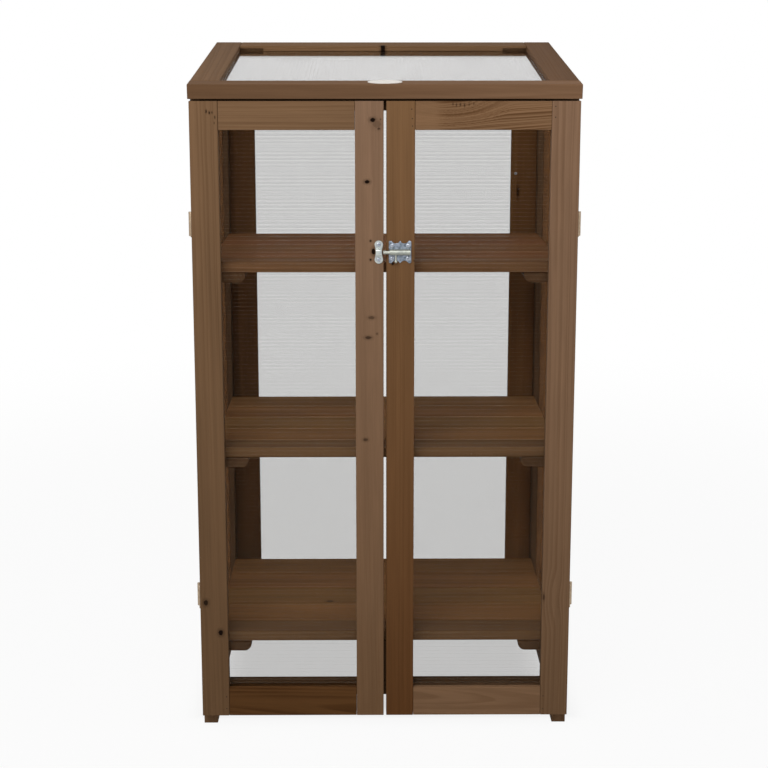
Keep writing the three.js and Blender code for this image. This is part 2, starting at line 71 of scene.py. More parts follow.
# The rounding of a groove's mouth, and a sheet's clearance along its edges and across its faces
GROOVE_MOUTH = 0.0003
EDGE_SLACK = 0.0005
FACE_SLACK = 0.0003

TO_FRONT = Vector((0, -1, 0))
TO_BACK = Vector((0, 1, 0))

# Turns of a drawing: Y and Z swapped, its Z to the front, and its Z along X
SWAP_Y_Z = Matrix(((1, 0, 0, 0), (0, 0, 1, 0), (0, 1, 0, 0), (0, 0, 0, 1)))
Z_TO_FRONT = Matrix(((1, 0, 0, 0), (0, 0, -1, 0), (0, 1, 0, 0), (0, 0, 0, 1)))
Z_ALONG_X = Matrix(((0, 0, 1, 0), (1, 0, 0, 0), (0, 1, 0, 0), (0, 0, 0, 1)))


# Frame helpers

class Axis(Enum):
    """A direction of the model or of a group of pieces."""

    X = 0
    Y = 1
    Z = 2

    @property
    def across(self) -> tuple[int, int]:
        """The two other axes, in the order in which an outline turns left when seen along this one."""
        return (self.value + 1) % 3, (self.value + 2) % 3


class Side(Enum):
    """The left or the right half of the greenhouse, by the sign of its X."""

    LEFT = -1
    RIGHT = 1

    @property
    def word(self) -> str:
        """The side's word in the names of pieces."""
        return self.name.lower()


class Slot(Enum):
    """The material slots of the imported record."""

    WOOD = "stained_wood"
    INSIDE_WOOD = "inside_wood"
    SHEET = "twin_wall_sheet"
    ZINC = "zinc_steel"
    HINGE = "hinge_steel"
    BADGE = "blank_badge"


def body_of(node: str) -> str:
    """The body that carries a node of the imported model.

    Args:
        node: The node's name.

    Returns:
        The body's name.
    """
    bodies = frame["record"]["behaviour"]["bodies"]
    return next(body for body, members in bodies.items() if node in members)


def joint_place(name: str) -> Vector:
    """The point that a joint turns about.

    Args:
        name: The joint's name.

    Returns:
        The point in the model's axes.
    """
    joint = next(joint for joint in frame["joints"] if joint["name"] == name)
    return Vector(joint["pos_m"])


@dataclass(frozen=True)
class Place:
    """The axes in which a group of pieces is drawn.

    Attributes:
        matrix: The map from them to the model's axes.
    """

    matrix: Matrix = field(default_factory=lambda: Matrix.Identity(4))

    def points(self, node: str) -> list[Vector]:
        """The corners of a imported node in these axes.

        Args:
            node: The node's name.

        Returns:
            One point for each corner.
        """
        inverse = self.matrix.inverted()
        return [inverse @ vertex.co for vertex in frame["nodes"][node].data.vertices]

    def box(self, node: str) -> Box:
        """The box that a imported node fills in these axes.

        Args:
            node: The node's name.

        Returns:
            The lowest and the highest corner.
        """
        spans = list(zip(*self.points(node)))
        return Vector(map(min, spans)), Vector(map(max, spans))


MODEL = Place()
ALONG_ROOF = Place(Matrix(((1, 0, 0, 0), (0, 1, 0, 0), (0, math.tan(ROOF_PITCH), 1, 0), (0, 0, 0, 1))))


def lid_place() -> Place:
    """The lid's own axes, tilted by the roof's pitch about its hinge line."""
    return Place(Matrix.Translation(joint_place("lid_hinge")) @ Matrix.Rotation(ROOF_PITCH, 4, "X"))


def grown(box: Box, amount: Union[float, Vector]) -> Box:
    """A box made larger on every side.

    Args:
        box: The lowest and the highest corner.
        amount: How far each side moves out, for all axes or for each.

    Returns:
        The larger box.
    """
    step = amount if isinstance(amount, Vector) else Vector((amount, amount, amount))
    return box[0] - step, box[1] + step


# Shader helpers

def linear(red: int, green: int, blue: int) -> Colour:
    """A colour as light, from the numbers that a picture stores.

    Args:
        red: Red from 0 to 255.
        green: Green from 0 to 255.
        blue: Blue from 0 to 255.

    Returns:
        The three shares of light.
    """
    def share(value: int) -> float:
        """The light of one stored number."""
        part = value / 255
        return part / 12.92 if part <= 0.04045 else ((part + 0.055) / 1.055) ** 2.4

    return share(red), share(green), share(blue)


class Clouds(NamedTuple):
    """A kind of cloudy noise.

    Attributes:
        stretch: How many clouds there are in a metre, along each axis.
        detail: How many finer layers it has.
        rough: How strong the finer layers are.
    """

    stretch: tuple[float, float, float]
    detail: float
    rough: float = 0.5


class Nodes:
    """The shader nodes of one material or world, added and linked by short calls."""

    def __init__(self, owner: Union[bpy.types.Material, bpy.types.World]) -> None:
        """Starts with no nodes.

        Args:
            owner: The new material or world.
        """
        owner.use_nodes = True
        self.owner = owner
        self.tree = owner.node_tree
        self.tree.nodes.clear()

    def feed(self, socket: bpy.types.NodeSocket, value: Any) -> None:
        """Sets a socket, or links it to another node's output.

        Args:
            socket: The input.
            value: A number, a vector, a colour or an output.
        """
        if isinstance(value, bpy.types.NodeSocket):
            self.tree.links.new(value, socket)
        elif isinstance(value, tuple) and socket.type == "RGBA" and len(value) == 3:
            socket.default_value = (*value, 1)
        else:
            socket.default_value = value

    def add(
        self, kind: str, sockets: Optional[Mapping[Union[str, int], Any]] = None, **settings: Any,
    ) -> bpy.types.Node:
        """Adds a node.

        Args:
            kind: The node's type.
            sockets: What goes into its inputs, by name or by number.
            **settings: The node's own properties.

        Returns:
            The new node.
        """
        node = self.tree.nodes.new(kind)
        for name, value in settings.items():
            setattr(node, name, value)
        for key, value in (sockets or {}).items():
            self.feed(node.inputs[key], value)
        return node

    def math(self, operation: str, *values: Any) -> bpy.types.NodeSocket:
        """One step of arithmetic on numbers.

        Args:
            operation: The kind of step.
            *values: Numbers or outputs.

        Returns:
            The result's output.
        """
        return self.add("ShaderNodeMath", dict(enumerate(values)), operation=operation).outputs[0]

    def vector(self, operation: str, *values: Any) -> bpy.types.NodeSocket:
        """One step of arithmetic on vectors.

        Args:
            operation: The kind of step.
            *values: Vectors or outputs.

        Returns:
            The result's output, a number where the step gives one.
        """
        node = self.add("ShaderNodeVectorMath", dict(enumerate(values)), operation=operation)
        return node.outputs[1] if operation == "LENGTH" else node.outputs[0]

    def spread(
        self, value: Any, span: tuple[float, float], to: tuple[float, float] = (0, 1),
    ) -> bpy.types.NodeSocket:
        """A smooth step from one number to another.

        Args:
            value: The number that is read.
            span: Where the step starts and ends.
            to: The results at the start and the end.

        Returns:
            The result's output.
        """
        sockets = {0: value, 1: span[0], 2: span[1], 3: to[0], 4: to[1]}
        return self.add("ShaderNodeMapRange", sockets, interpolation_type="SMOOTHSTEP").outputs[0]

    def noise(self, place: Any, clouds: Clouds) -> bpy.types.Node:
        """Cloudy noise, stretched along the axes.

        Args:
            place: The vector that is read.
            clouds: The kind of noise.

        Returns:
            The noise node.
        """
        scaled = self.vector("MULTIPLY", place, clouds.stretch)
        sockets = {"Vector": scaled, "Scale": 1, "Detail": clouds.detail, "Roughness": clouds.rough}
        return self.add("ShaderNodeTexNoise", sockets)

    def shift(self, place: Any, clouds: Clouds, reach: float) -> bpy.types.NodeSocket:
        """A cloudy move across the trunk.

        Args:
            place: The place in the log.
            clouds: The kind of noise.
            reach: How far it moves at most.

        Returns:
            The move's output.
        """
        centred = self.vector("SUBTRACT", self.noise(place, clouds).outputs["Color"], (0.5, 0.5, 0.5))
        return self.vector("MULTIPLY", centred, (0, reach, reach))

    def seen(self) -> bpy.types.NodeSocket:
        """Tells where the camera sees the surface straight, in a mirror or through a clear body.

        Returns:
            An output that is 1 there and 0 elsewhere.
        """
        path = self.add("ShaderNodeLightPath").outputs
        straight = self.math("MAXIMUM", path["Is Camera Ray"], path["Is Glossy Ray"])
        return self.math("MAXIMUM", straight, path["Is Transmission Ray"])

    def blend(self, factor: Any, first: Any, second: Any, mode: str = "MIX") -> bpy.types.NodeSocket:
        """A mix of two colours.

        Args:
            factor: The share of the second colour.
            first: The first colour.
            second: The second colour.
            mode: The way in which they mix.

        Returns:
            The result's output.
        """
        sockets = {0: factor, 6: first, 7: second}
        return self.add("ShaderNodeMix", sockets, data_type="RGBA", blend_type=mode).outputs[2]

    def surface(self, shader: bpy.types.NodeSocket) -> Union[bpy.types.Material, bpy.types.World]:
        """Ends the material or world with its surface.

        Args:
            shader: The output of the last shader.

        Returns:
            The finished material or world.
        """
        is_world = isinstance(self.owner, bpy.types.World)
        self.add("ShaderNodeOutputWorld" if is_world else "ShaderNodeOutputMaterial", {"Surface": shader})
        return self.owner


# Finishes

FIBRES = Clouds((12, 520, 520), 3, 0.62)
STREAKS = Clouds((1.5, 95, 95), 2)
PATCHES = Clouds((3.5, 15, 15), 3, 0.55)
WANDER = Clouds((1.6, 9, 9), 2)
RIPPLE = Clouds((16, 60, 60), 1)
RING_STRENGTH = Clouds((2.5, 40, 40), 1)
RAGGED = Clouds((420, 420, 420), 2)
PLATING = Clouds((210, 210, 210), 3, 0.6)
DRAWING_MARKS = Clouds((380, 380, 3200), 2, 0.6)
GLAZE = Clouds((130, 130, 130), 3)

# Growth rings: the shares of a year over which late wood comes and goes, how the years' widths drift, and how
# the strength of the rings changes over a board
LATE_RISE = (0.2, 0.85)
LATE_FALL = (0.9, 1.0)
SEASON_PACE = 0.42
SEASON_DRIFT = 3.2
STRENGTH_SPAN = (0.3, 0.62)
STRENGTH_RANGE = (0.35, 1.25)

# Knots, in units of their radius: the dark core, the soft halo and the reach of the bent rings
KNOT_CORE = (0.7, 1.15)
KNOT_HALO = (0.9, 2.2)
KNOT_BEND = (0.6, 4.2)
HALO_SHARE = 0.35
RAGGED_SHARE = 0.7

# The mirroring between which a clear sheet counts as looked along
LOW_VIEW = (0.25, 0.5)


@dataclass(frozen=True)
class Knot:
    """A knot, or a small dark mark, that goes through a board.

    Attributes:
        centre: Its place in the model.
        radius: Its half widths along X, Y and Z, with 0 along the way that it goes through.
        swirl: How far the growth rings bend round it, in metres.
        dark: How dark its middle is, from 0 to 1.
    """

    centre: tuple[float, float, float]
    radius: tuple[float, float, float]
    swirl: float = 0.003
    dark: float = 0.9


@dataclass(frozen=True)
class StainedWood:
    """Brown-stained, planed softwood with growth rings, streaks, fibres and knots.

    The rings are read from each board's place in its log, which its mesh stores.

    Attributes:
        name: The finish's name.
        knots: The knots and marks in the boards that wear it.
        ring_width: The middle width of a growth ring.
        early: The colour of the early wood.
        late: The colour of the late wood.
        knot: The colour of a knot's middle.
        ring_share: How much of the late wood's colour shows.
        streak_share: How strong the broad soft streaks are.
        fibre_share: How strong the fine fibres are.
        cloud_share: How strong the patches are.
        calm_end: The two places along X between which the rings come in, where a board has a calm left end.
        calm_share: How strong the rings are in that calm end.
        wander: How far the rings drift from round.
        tremble: How far they ripple.
        ring_relief: How far late wood stands up in the relief.
        fibre_relief: How far fibres stand up in it.
        rough: The roughness beside and on the fibres.
    """

    name: str
    knots: tuple[Knot, ...] = ()
    ring_width: float = 0.0062
    early: Colour = linear(126, 97, 71)
    late: Colour = linear(94, 67, 44)
    knot: Colour = linear(24, 14, 8)
    ring_share: float = 0.26
    streak_share: float = 0.16
    fibre_share: float = 0.15
    cloud_share: float = 0.16
    calm_end: Optional[tuple[float, float]] = None
    calm_share: float = 0.2
    wander: float = 0.012
    tremble: float = 0.0014
    ring_relief: float = 0.35
    fibre_relief: float = 0.9
    rough: tuple[float, float] = (0.58, 0.78)

    def material(self) -> bpy.types.Material:
        """The finish as a shader.

        Returns:
            The new material.
        """
        nodes = Nodes(bpy.data.materials.new(self.name))
        log = nodes.add("ShaderNodeAttribute", attribute_name="log").outputs["Vector"]
        stain = nodes.add("ShaderNodeAttribute", attribute_name="stain").outputs["Color"]
        core, swirl = self.knot_fields(nodes)
        late = self.rings(nodes, log, swirl)
        fibre = nodes.noise(log, FIBRES).outputs[0]
        layers = (
            (nodes.noise(log, STREAKS).outputs[0], self.streak_share),
            (fibre, self.fibre_share),
            (nodes.noise(log, PATCHES).outputs[0], self.cloud_share),
        )
        tone = nodes.blend(nodes.math("MULTIPLY", late, self.ring_share), self.early, self.late)
        light: Any = 1.0
        for layer, share in layers:
            light = nodes.math("MULTIPLY", light, nodes.math("MULTIPLY_ADD", layer, share * 2, 1 - share))
        shade = nodes.add("ShaderNodeCombineColor", {0: light, 1: light, 2: light}).outputs[0]
        tone = nodes.blend(1.0, tone, shade, "MULTIPLY")
        # The stain attribute also carries painted light and shade on the door stiles and the shelf decks.
        tone = nodes.blend(1.0, tone, stain, "MULTIPLY")
        if core is not None:
            tone = nodes.blend(core, tone, self.knot)

        relief = nodes.math("MULTIPLY", fibre, self.fibre_relief)
        height = nodes.math("MULTIPLY_ADD", late, self.ring_relief, relief)
        bump = nodes.add("ShaderNodeBump", {"Strength": 0.3, "Distance": 0.00025, "Height": height})
        rough = nodes.math("MULTIPLY_ADD", fibre, self.rough[1] - self.rough[0], self.rough[0])
        shader = nodes.add("ShaderNodeBsdfPrincipled", {
            "Base Color": tone,
            "Roughness": rough,
            "Specular IOR Level": 0.03,
            "Normal": bump.outputs[0],
        })
        return nodes.surface(shader.outputs[0])

    def rings(self, nodes: Nodes, log: bpy.types.NodeSocket, swirl: Any) -> bpy.types.NodeSocket:
        """How dark the late wood of the growth rings is.

        Args:
            nodes: The material's nodes.
            log: The place in the log, with the pith on its first axis.
            swirl: How far knots push the rings out.

        Returns:
            An output that is 1 in late wood and 0 in early wood.
        """
        moved = nodes.vector("ADD", log, nodes.shift(log, WANDER, self.wander))
        moved = nodes.vector("ADD", moved, nodes.shift(log, RIPPLE, self.tremble))
        radius = nodes.vector("LENGTH", nodes.vector("MULTIPLY", moved, (0, 1, 1)))
        if swirl is not None:
            radius = nodes.math("ADD", radius, swirl)
        season = nodes.math("MULTIPLY", radius, SEASON_PACE / self.ring_width)
        sockets = {"W": season, "Scale": 1, "Detail": 2}
        seasons = nodes.add("ShaderNodeTexNoise", sockets, noise_dimensions="1D").outputs[0]
        drift = nodes.math("MULTIPLY", seasons, SEASON_DRIFT)
        year = nodes.math("FRACT", nodes.math("MULTIPLY_ADD", radius, 1 / self.ring_width, drift))
        band = nodes.math("MULTIPLY", nodes.spread(year, LATE_RISE), nodes.spread(year, LATE_FALL, (1, 0)))
        strength = nodes.noise(log, RING_STRENGTH).outputs[0]
        band = nodes.math("MULTIPLY", band, nodes.spread(strength, STRENGTH_SPAN, STRENGTH_RANGE))
        if self.calm_end is None:
            return band
        place = nodes.add("ShaderNodeTexCoord").outputs["Object"]
        across = nodes.add("ShaderNodeSeparateXYZ", {0: place}).outputs[0]
        return nodes.math("MULTIPLY", band, nodes.spread(across, self.calm_end, (self.calm_share, 1)))

    def knot_fields(self, nodes: Nodes) -> tuple[Any, Any]:
        """The dark middles of the knots, and how far the rings bend round them.

        Args:
            nodes: The material's nodes.

        Returns:
            Two outputs, or None twice where the wood is clear of knots.
        """
        if not self.knots:
            return None, None
        place = nodes.add("ShaderNodeTexCoord").outputs["Object"]
        ragged = nodes.math("SUBTRACT", nodes.noise(place, RAGGED).outputs[0], 0.5)
        core: Any = 0.0
        swirl: Any = 0.0
        for knot in self.knots:
            scale = tuple(1 / radius if radius else 0 for radius in knot.radius)
            offset = nodes.vector("MULTIPLY", nodes.vector("SUBTRACT", place, knot.centre), scale)
            away = nodes.math("MULTIPLY_ADD", ragged, RAGGED_SHARE, nodes.vector("LENGTH", offset))
            middle = nodes.spread(away, KNOT_CORE, (knot.dark, 0))
            halo = nodes.spread(away, KNOT_HALO, (knot.dark * HALO_SHARE, 0))
            core = nodes.math("MAXIMUM", core, nodes.math("MAXIMUM", middle, halo))
            if knot.swirl:
                swirl = nodes.math("ADD", swirl, nodes.spread(away, KNOT_BEND, (knot.swirl, 0)))
        return core, swirl


@dataclass(frozen=True)
class ClearPlastic:
    """Clear plastic, for thin walls that bend light too little to notice, and for their milky ribs.

    Attributes:
        name: The finish's name.
        passed: What one face lets through, as a colour.
        index: The plastic's refractive index, which sets how strongly a low view is mirrored.
        milk_share: The share of light that the plastic scatters.
        milk: The colour of what it scatters.
        rough: How soft the mirroring is.
        gloss_share: How much of the mirroring shows.
        front_lit: Whether it scatters light back to the side that it comes from.
        film: The brown colour painted in where the sheet is looked along, a painted reflection of the wood round
            it.
        film_share: How much of that painted reflection shows.
    """

    name: str
    passed: Colour = (0.930, 0.930, 0.929)
    index: float = 1.5
    milk_share: float = 0.001
    milk: Colour = (0.8, 0.8, 0.8)
    rough: float = 0.06
    gloss_share: float = 1.0
    front_lit: bool = False
    film: Colour = (0.55, 0.24, 0.09)
    film_share: float = 0.0

    def material(self) -> bpy.types.Material:
        """The finish as a shader, which mirrors nothing where it is looked at squarely.

        Returns:
            The new material.
        """
        nodes = Nodes(bpy.data.materials.new(self.name))
        behind = nodes.add("ShaderNodeNewGeometry").outputs["Backfacing"]
        index = nodes.add("ShaderNodeMix", {0: behind, 2: self.index, 3: 1 / self.index}).outputs[0]
        square_on = ((self.index - 1) / (self.index + 1)) ** 2
        fresnel = nodes.add("ShaderNodeFresnel", {"IOR": index}).outputs[0]
        mirrored = nodes.add("ShaderNodeMapRange", {0: fresnel, 1: square_on, 2: 1, 3: 0, 4: 1}).outputs[0]
        clear = nodes.add("ShaderNodeBsdfTransparent", {"Color": self.passed}).outputs[0]
        milky: Any = self.milk_share
        milk: Any = self.milk
        # Where the sheet is looked along, a brown colour is painted in: a painted reflection of the wood round it.
        if self.film_share:
            low_view = nodes.spread(mirrored, LOW_VIEW)
            milky = nodes.math("MULTIPLY_ADD", low_view, self.film_share, self.milk_share)
            milk = nodes.blend(low_view, self.milk, self.film)
        kind = "ShaderNodeBsdfDiffuse" if self.front_lit else "ShaderNodeBsdfTranslucent"
        cloud = nodes.add(kind, {"Color": milk}).outputs[0]
        body = nodes.add("ShaderNodeMixShader", {0: milky, 1: clear, 2: cloud}).outputs[0]
        sockets = {"Color": (1, 1, 1), "Roughness": self.rough}
        gloss = nodes.add("ShaderNodeBsdfAnisotropic", sockets).outputs[0]
        shown = nodes.math("MULTIPLY", mirrored, self.gloss_share)
        return nodes.surface(nodes.add("ShaderNodeMixShader", {0: shown, 1: body, 2: gloss}).outputs[0])


@dataclass(frozen=True)
class PlatedSteel:
    """Plated sheet steel with faint clouds, fine drawing marks, and patches that are partly its coating's colour
    and partly painted reflection.

    Attributes:
        name: The finish's name.
        base: The plating's colour.
        tint: Its patches' colour, partly the coating's own and partly a painted reflection of a darker surround.
        rough: The middle of its roughness.
        marks: How strong the fine marks are.
        tint_span: Between which levels of the clouds the patches come in.
    """

    name: str
    base: Colour
    tint: Colour
    rough: float
    marks: float = 0.25
    tint_span: tuple[float, float] = (0.38, 0.66)

    def material(self) -> bpy.types.Material:
        """The finish as a shader.

        Returns:
            The new material.
        """
        nodes = Nodes(bpy.data.materials.new(self.name))
        place = nodes.add("ShaderNodeTexCoord").outputs["Object"]
        cloud = nodes.noise(place, PLATING).outputs[0]
        marks = nodes.noise(place, DRAWING_MARKS).outputs[0]
        # The darker cloudy patches are partly the coating's colour and partly a painted reflection of a darker
        # surround.
        colour = nodes.blend(nodes.spread(cloud, self.tint_span), self.base, self.tint)
        worn = nodes.math("MULTIPLY_ADD", marks, self.marks, self.rough - self.marks / 2)
        bump = nodes.add("ShaderNodeBump", {"Strength": 0.3, "Distance": 0.00008, "Height": cloud})
        shader = nodes.add("ShaderNodeBsdfPrincipled", {
            "Base Color": colour,
            "Metallic": 1.0,
            "Roughness": worn,
            "Normal": bump.outputs[0],
        })
        return nodes.surface(shader.outputs[0])


@dataclass(frozen=True)
class Enamel:
    """Plain white enamel with a soft shine and very faint unevenness.

    Attributes:
        name: The finish's name.
        colour: Its colour.
        shadow: The colour of its faint patches.
        patch_span: Between which levels of the clouds the patches come in.
        rough: The roughness beside and on the patches.
    """

    name: str = "white_enamel"
    colour: Colour = linear(236, 229, 219)
    shadow: Colour = linear(218, 207, 195)
    patch_span: tuple[float, float] = (0.45, 0.8)
    rough: tuple[float, float] = (0.24, 0.38)

    def material(self) -> bpy.types.Material:
        """The finish as a shader.

        Returns:
            The new material.
        """
        nodes = Nodes(bpy.data.materials.new(self.name))
        place = nodes.add("ShaderNodeTexCoord").outputs["Object"]
        cloud = nodes.noise(place, GLAZE).outputs[0]
        colour = nodes.blend(nodes.spread(cloud, self.patch_span), self.colour, self.shadow)
        bump = nodes.add("ShaderNodeBump", {"Strength": 0.1, "Distance": 0.0001, "Height": cloud})
        rough = nodes.math("MULTIPLY_ADD", cloud, self.rough[1] - self.rough[0], self.rough[0])
        sockets = {"Base Color": colour, "Roughness": rough, "Normal": bump.outputs[0]}
        shader = nodes.add("ShaderNodeBsdfPrincipled", sockets)
        return nodes.surface(shader.outputs[0])


LEFT_HINGE_STILE_KNOTS = (
    Knot((-0.2658, 0, 0.9816), (0.0011, 0, 0.0026), 0.0, 0.85),
    Knot((-0.2612, 0, 0.9797), (0.0012, 0, 0.0022), 0.0, 0.85),
    Knot((-0.2572, 0, 0.9800), (0.0009, 0, 0.0018), 0.0, 0.7),
    Knot((-0.2531, 0, 0.9730), (0.0010, 0, 0.0022), 0.0, 0.7),
    Knot((-0.2542, 0, 0.9647), (0.0008, 0, 0.0018), 0.0, 0.55),
    Knot((-0.2830, 0, 0.2126), (0.0038, 0, 0.0050), 0.003, 0.9),
    Knot((-0.2604, 0, 0.1625), (0.0040, 0, 0.0050), 0.003, 1.0),
)
RIGHT_HINGE_STILE_KNOTS = (
    Knot((0.2512, 0, 0.2206), (0.0018, 0, 0.0060), 0.0, 0.65),
    Knot((0.2640, 0, 0.2180), (0.0050, 0, 0.0140), 0.006, 0.0),
)
LEFT_MEETING_STILE_KNOTS = (
    Knot((-0.0183, 0, 0.9690), (0.0044, 0, 0.0034), 0.003, 1.0),
    Knot((-0.0122, 0, 0.9630), (0.0070, 0, 0.0062), 0.0, 0.32),
    Knot((-0.0091, 0, 0.9562), (0.0022, 0, 0.0020), 0.0, 0.7),
    Knot((-0.0068, 0, 0.9700), (0.0012, 0, 0.0012), 0.0, 0.5),
    Knot((-0.0270, 0, 0.8770), (0.0042, 0, 0.0028), 0.003, 1.0),
    Knot((-0.0205, 0, 0.6700), (0.0050, 0, 0.0026), 0.002, 0.6),
    Knot((-0.0255, 0, 0.6390), (0.0050, 0, 0.0026), 0.002, 0.75),
    Knot((-0.0120, 0, 0.6450), (0.0018, 0, 0.0018), 0.0, 0.5),
    Knot((-0.0300, 0, 0.4780), (0.0040, 0, 0.0026), 0.002, 0.65),
    Knot((-0.0218, 0, 0.7878), (0.0017, 0, 0.0017), 0.0, 0.9),
    Knot((-0.0218, 0, 0.7590), (0.0017, 0, 0.0017), 0.0, 0.95),
    Knot((-0.0175, 0, 0.7715), (0.0030, 0, 0.0052), 0.0, 1.0),
)
RIGHT_MEETING_STILE_KNOTS = (
    Knot((0.0118, 0, 0.7530), (0.0024, 0, 0.0022), 0.0, 0.95),
    Knot((0.0443, 0, 0.7575), (0.0014, 0, 0.0012), 0.0, 0.6),
)
RIGHT_TOP_RAIL_KNOTS = (
    Knot((0.1000, 0, 0.9945), (0.0230, 0, 0.0095), 0.0300, 0.0),
    Knot((0.1010, 0, 0.9925), (0.0011, 0, 0.0022), 0.0, 0.50),
    Knot((0.1062, 0, 0.9915), (0.0010, 0, 0.0026), 0.0, 0.60),
    Knot((0.1120, 0, 0.9918), (0.0012, 0, 0.0024), 0.0, 0.65),
    Knot((0.1182, 0, 0.9908), (0.0011, 0, 0.0028), 0.0, 0.60),
    Knot((0.1250, 0, 0.9918), (0.0010, 0, 0.0022), 0.0, 0.50),
    Knot((0.1320, 0, 0.9925), (0.0010, 0, 0.0018), 0.0, 0.45),
)
RIGHT_BACK_STILE_KNOTS = (
    Knot((0.2375, 0, 0.8218), (0.0022, 0, 0.0100), 0.0, 0.75),
)
LID_BACK_KNOTS = (
    Knot((-0.0003, 0.1885, 0), (0.0042, 0.0055, 0), 0.002, 1.0),
)
SHELF_KNOTS = (
    Knot((-0.0917, -0.0670, 0.1550), (0.0065, 0.0036, 0.02), 0.002, 0.75),
    Knot((-0.0600, -0.0700, 0.1550), (0.0500, 0.0012, 0.02), 0.0, 0.35),
)

LEFT_HINGE_WOOD = StainedWood("left_hinge_stile_wood", LEFT_HINGE_STILE_KNOTS)
LEFT_MEETING_WOOD = StainedWood("left_meeting_stile_wood", LEFT_MEETING_STILE_KNOTS, ring_share=0.12)
RIGHT_MEETING_WOOD = StainedWood("right_meeting_stile_wood", RIGHT_MEETING_STILE_KNOTS, ring_share=0.16)
RIGHT_HINGE_WOOD = StainedWood("right_hinge_stile_wood", RIGHT_HINGE_STILE_KNOTS, ring_share=0.32)
RIGHT_TOP_RAIL_WOOD = StainedWood(
    "right_top_rail_wood", RIGHT_TOP_RAIL_KNOTS, ring_width=0.0040, ring_share=1.15, calm_end=(0.070, 0.095),
)
RIGHT_BACK_WOOD = StainedWood("right_back_stile_wood", RIGHT_BACK_STILE_KNOTS)
LID_BACK_WOOD = StainedWood("lid_back_rail_wood", LID_BACK_KNOTS)
SHELF_WOOD = StainedWood("shelf_wood", SHELF_KNOTS, streak_share=0.26, cloud_share=0.24)
PLAIN_WOOD = StainedWood("clear_stained_wood")
BOLD_WOOD = StainedWood("bold_grained_wood", ring_share=0.62, ring_width=0.0048)
SHEET_PLASTIC = ClearPlastic("clear_twin_wall_plastic")
RIB_PLASTIC = ClearPlastic(
    "milky_rib_plastic", (0.98, 0.98, 0.98), index=1.05, milk_share=0.030, milk=(0.80, 0.64, 0.48),
    gloss_share=0.3, front_lit=True,
)
SIDE_RIB_PLASTIC = replace(RIB_PLASTIC, name="milky_side_rib_plastic", milk_share=0.055)
CALM_RIB_PLASTIC = ClearPlastic("calm_rib_plastic", (0.90, 0.90, 0.899))
# The side sheets carry a painted reflection of the wood round them where they are looked along.
SIDE_PLASTIC = ClearPlastic("clear_side_plastic", film_share=0.45)
# The plate's dark patches are partly painted reflection of a darker surround.
ZINC = PlatedSteel("blue_grey_zinc", (0.30, 0.34, 0.405), (0.13, 0.158, 0.19), 0.36)
BARREL_ZINC = PlatedSteel("creamy_barrel_zinc", (0.36, 0.375, 0.33), (0.28, 0.295, 0.27), 0.46)
PALE_ZINC = PlatedSteel("pale_zinc", (0.52, 0.55, 0.52), (0.40, 0.43, 0.44), 0.32)
DULL_ZINC = PlatedSteel("creamy_zinc", (0.42, 0.425, 0.365), (0.32, 0.33, 0.295), 0.42)
HINGE_STEEL = PlatedSteel("brownish_hinge_steel", (0.44, 0.34, 0.24), (0.34, 0.25, 0.17), 0.42)
SCREW_ZINC = PlatedSteel("screw_zinc", (0.50, 0.53, 0.58), (0.34, 0.37, 0.43), 0.30)
BRAD_STEEL = PlatedSteel("stained_brads", (0.05, 0.035, 0.025), (0.03, 0.02, 0.015), 0.55)
ENAMEL = Enamel()

Finish = Union[StainedWood, ClearPlastic, PlatedSteel, Enamel]
MADE: dict[str, bpy.types.Material] = {}


def dressed_in(finish: Finish) -> bpy.types.Material:
    """The material of a finish, made once.

    Args:
        finish: The finish.

    Returns:
        Its material.
    """
    if finish.name not in MADE:
        MADE[finish.name] = finish.material()
    return MADE[finish.name]


# Mesh helpers

class Corner(NamedTuple):
    """A corner of an outline.

    Attributes:
        u: Its place on the outline's first axis.
        v: Its place on the second.
        radius: The radius that rounds it.
        sunk: Whether it lies in a groove.
    """

    u: float
    v: float
    radius: float = 0.0
    sunk: bool = False


def rounded(corners: Sequence[Corner], steps: int = ARC_STEPS) -> list[Corner]:
    """An outline with its corners rounded.

    Args:
        corners: The corners, turning left.
        steps: How many short edges replace a corner.

    Returns:
        The finer outline, with no radius left on it.
    """
    outline = []
    for index, corner in enumerate(corners):
        if corner.radius <= 0:
            outline.append(corner)
            continue
        here = Vector(corner[:2])
        ends = []
        for other in (corners[index - 1], corners[(index + 1) % len(corners)]):
            way = Vector(other[:2]) - here
            ends.append(here + way.normalized() * min(corner.radius, way.length / 2))
        for step in range(steps + 1):
            share = step / steps
            point = ends[0] * (1 - share) ** 2 + here * 2 * share * (1 - share) + ends[1] * share ** 2
            outline.append(Corner(point.x, point.y, 0.0, corner.sunk))
    return outline


def circle(
    radius: float,
    steps: int,
    centre: tuple[float, float] = (0, 0),
    start: float = 0.0,
    turn: float = math.tau,
) -> list[Vector]:
    """Points on a circle or an arc, turning left.

    Args:
        radius: The circle's radius.
        steps: How many steps the turn has.
        centre: The circle's middle.
        start: The angle of the first point.
        turn: The angle that the arc turns through. A whole turn doesn't repeat its first point.

    Returns:
        The points, in the plane.
    """
    count = steps if math.isclose(abs(turn), math.tau) else steps + 1
    angles = [start + turn * step / steps for step in range(count)]
    return [Vector((centre[0] + radius * math.cos(a), centre[1] + radius * math.sin(a))) for a in angles]


def loft(mesh: bmesh.types.BMesh, sections: Sequence[Sequence[Vector]]) -> list[bmesh.types.BMVert]:
    """Skins sections of equal length, in order, and closes both ends.

    Args:
        mesh: The mesh that the skin joins.
        sections: The sections' points, each turning left when seen against the way they follow.

    Returns:
        The new corners.
    """
    rows = [[mesh.verts.new(point) for point in section] for section in sections]
    for low, high in zip(rows, rows[1:]):
        for index in range(len(low)):
            after = (index + 1) % len(low)
            mesh.faces.new((low[index], low[after], high[after], high[index]))
    mesh.faces.new(rows[0][::-1])
    mesh.faces.new(rows[-1])
    return [vertex for row in rows for vertex in row]


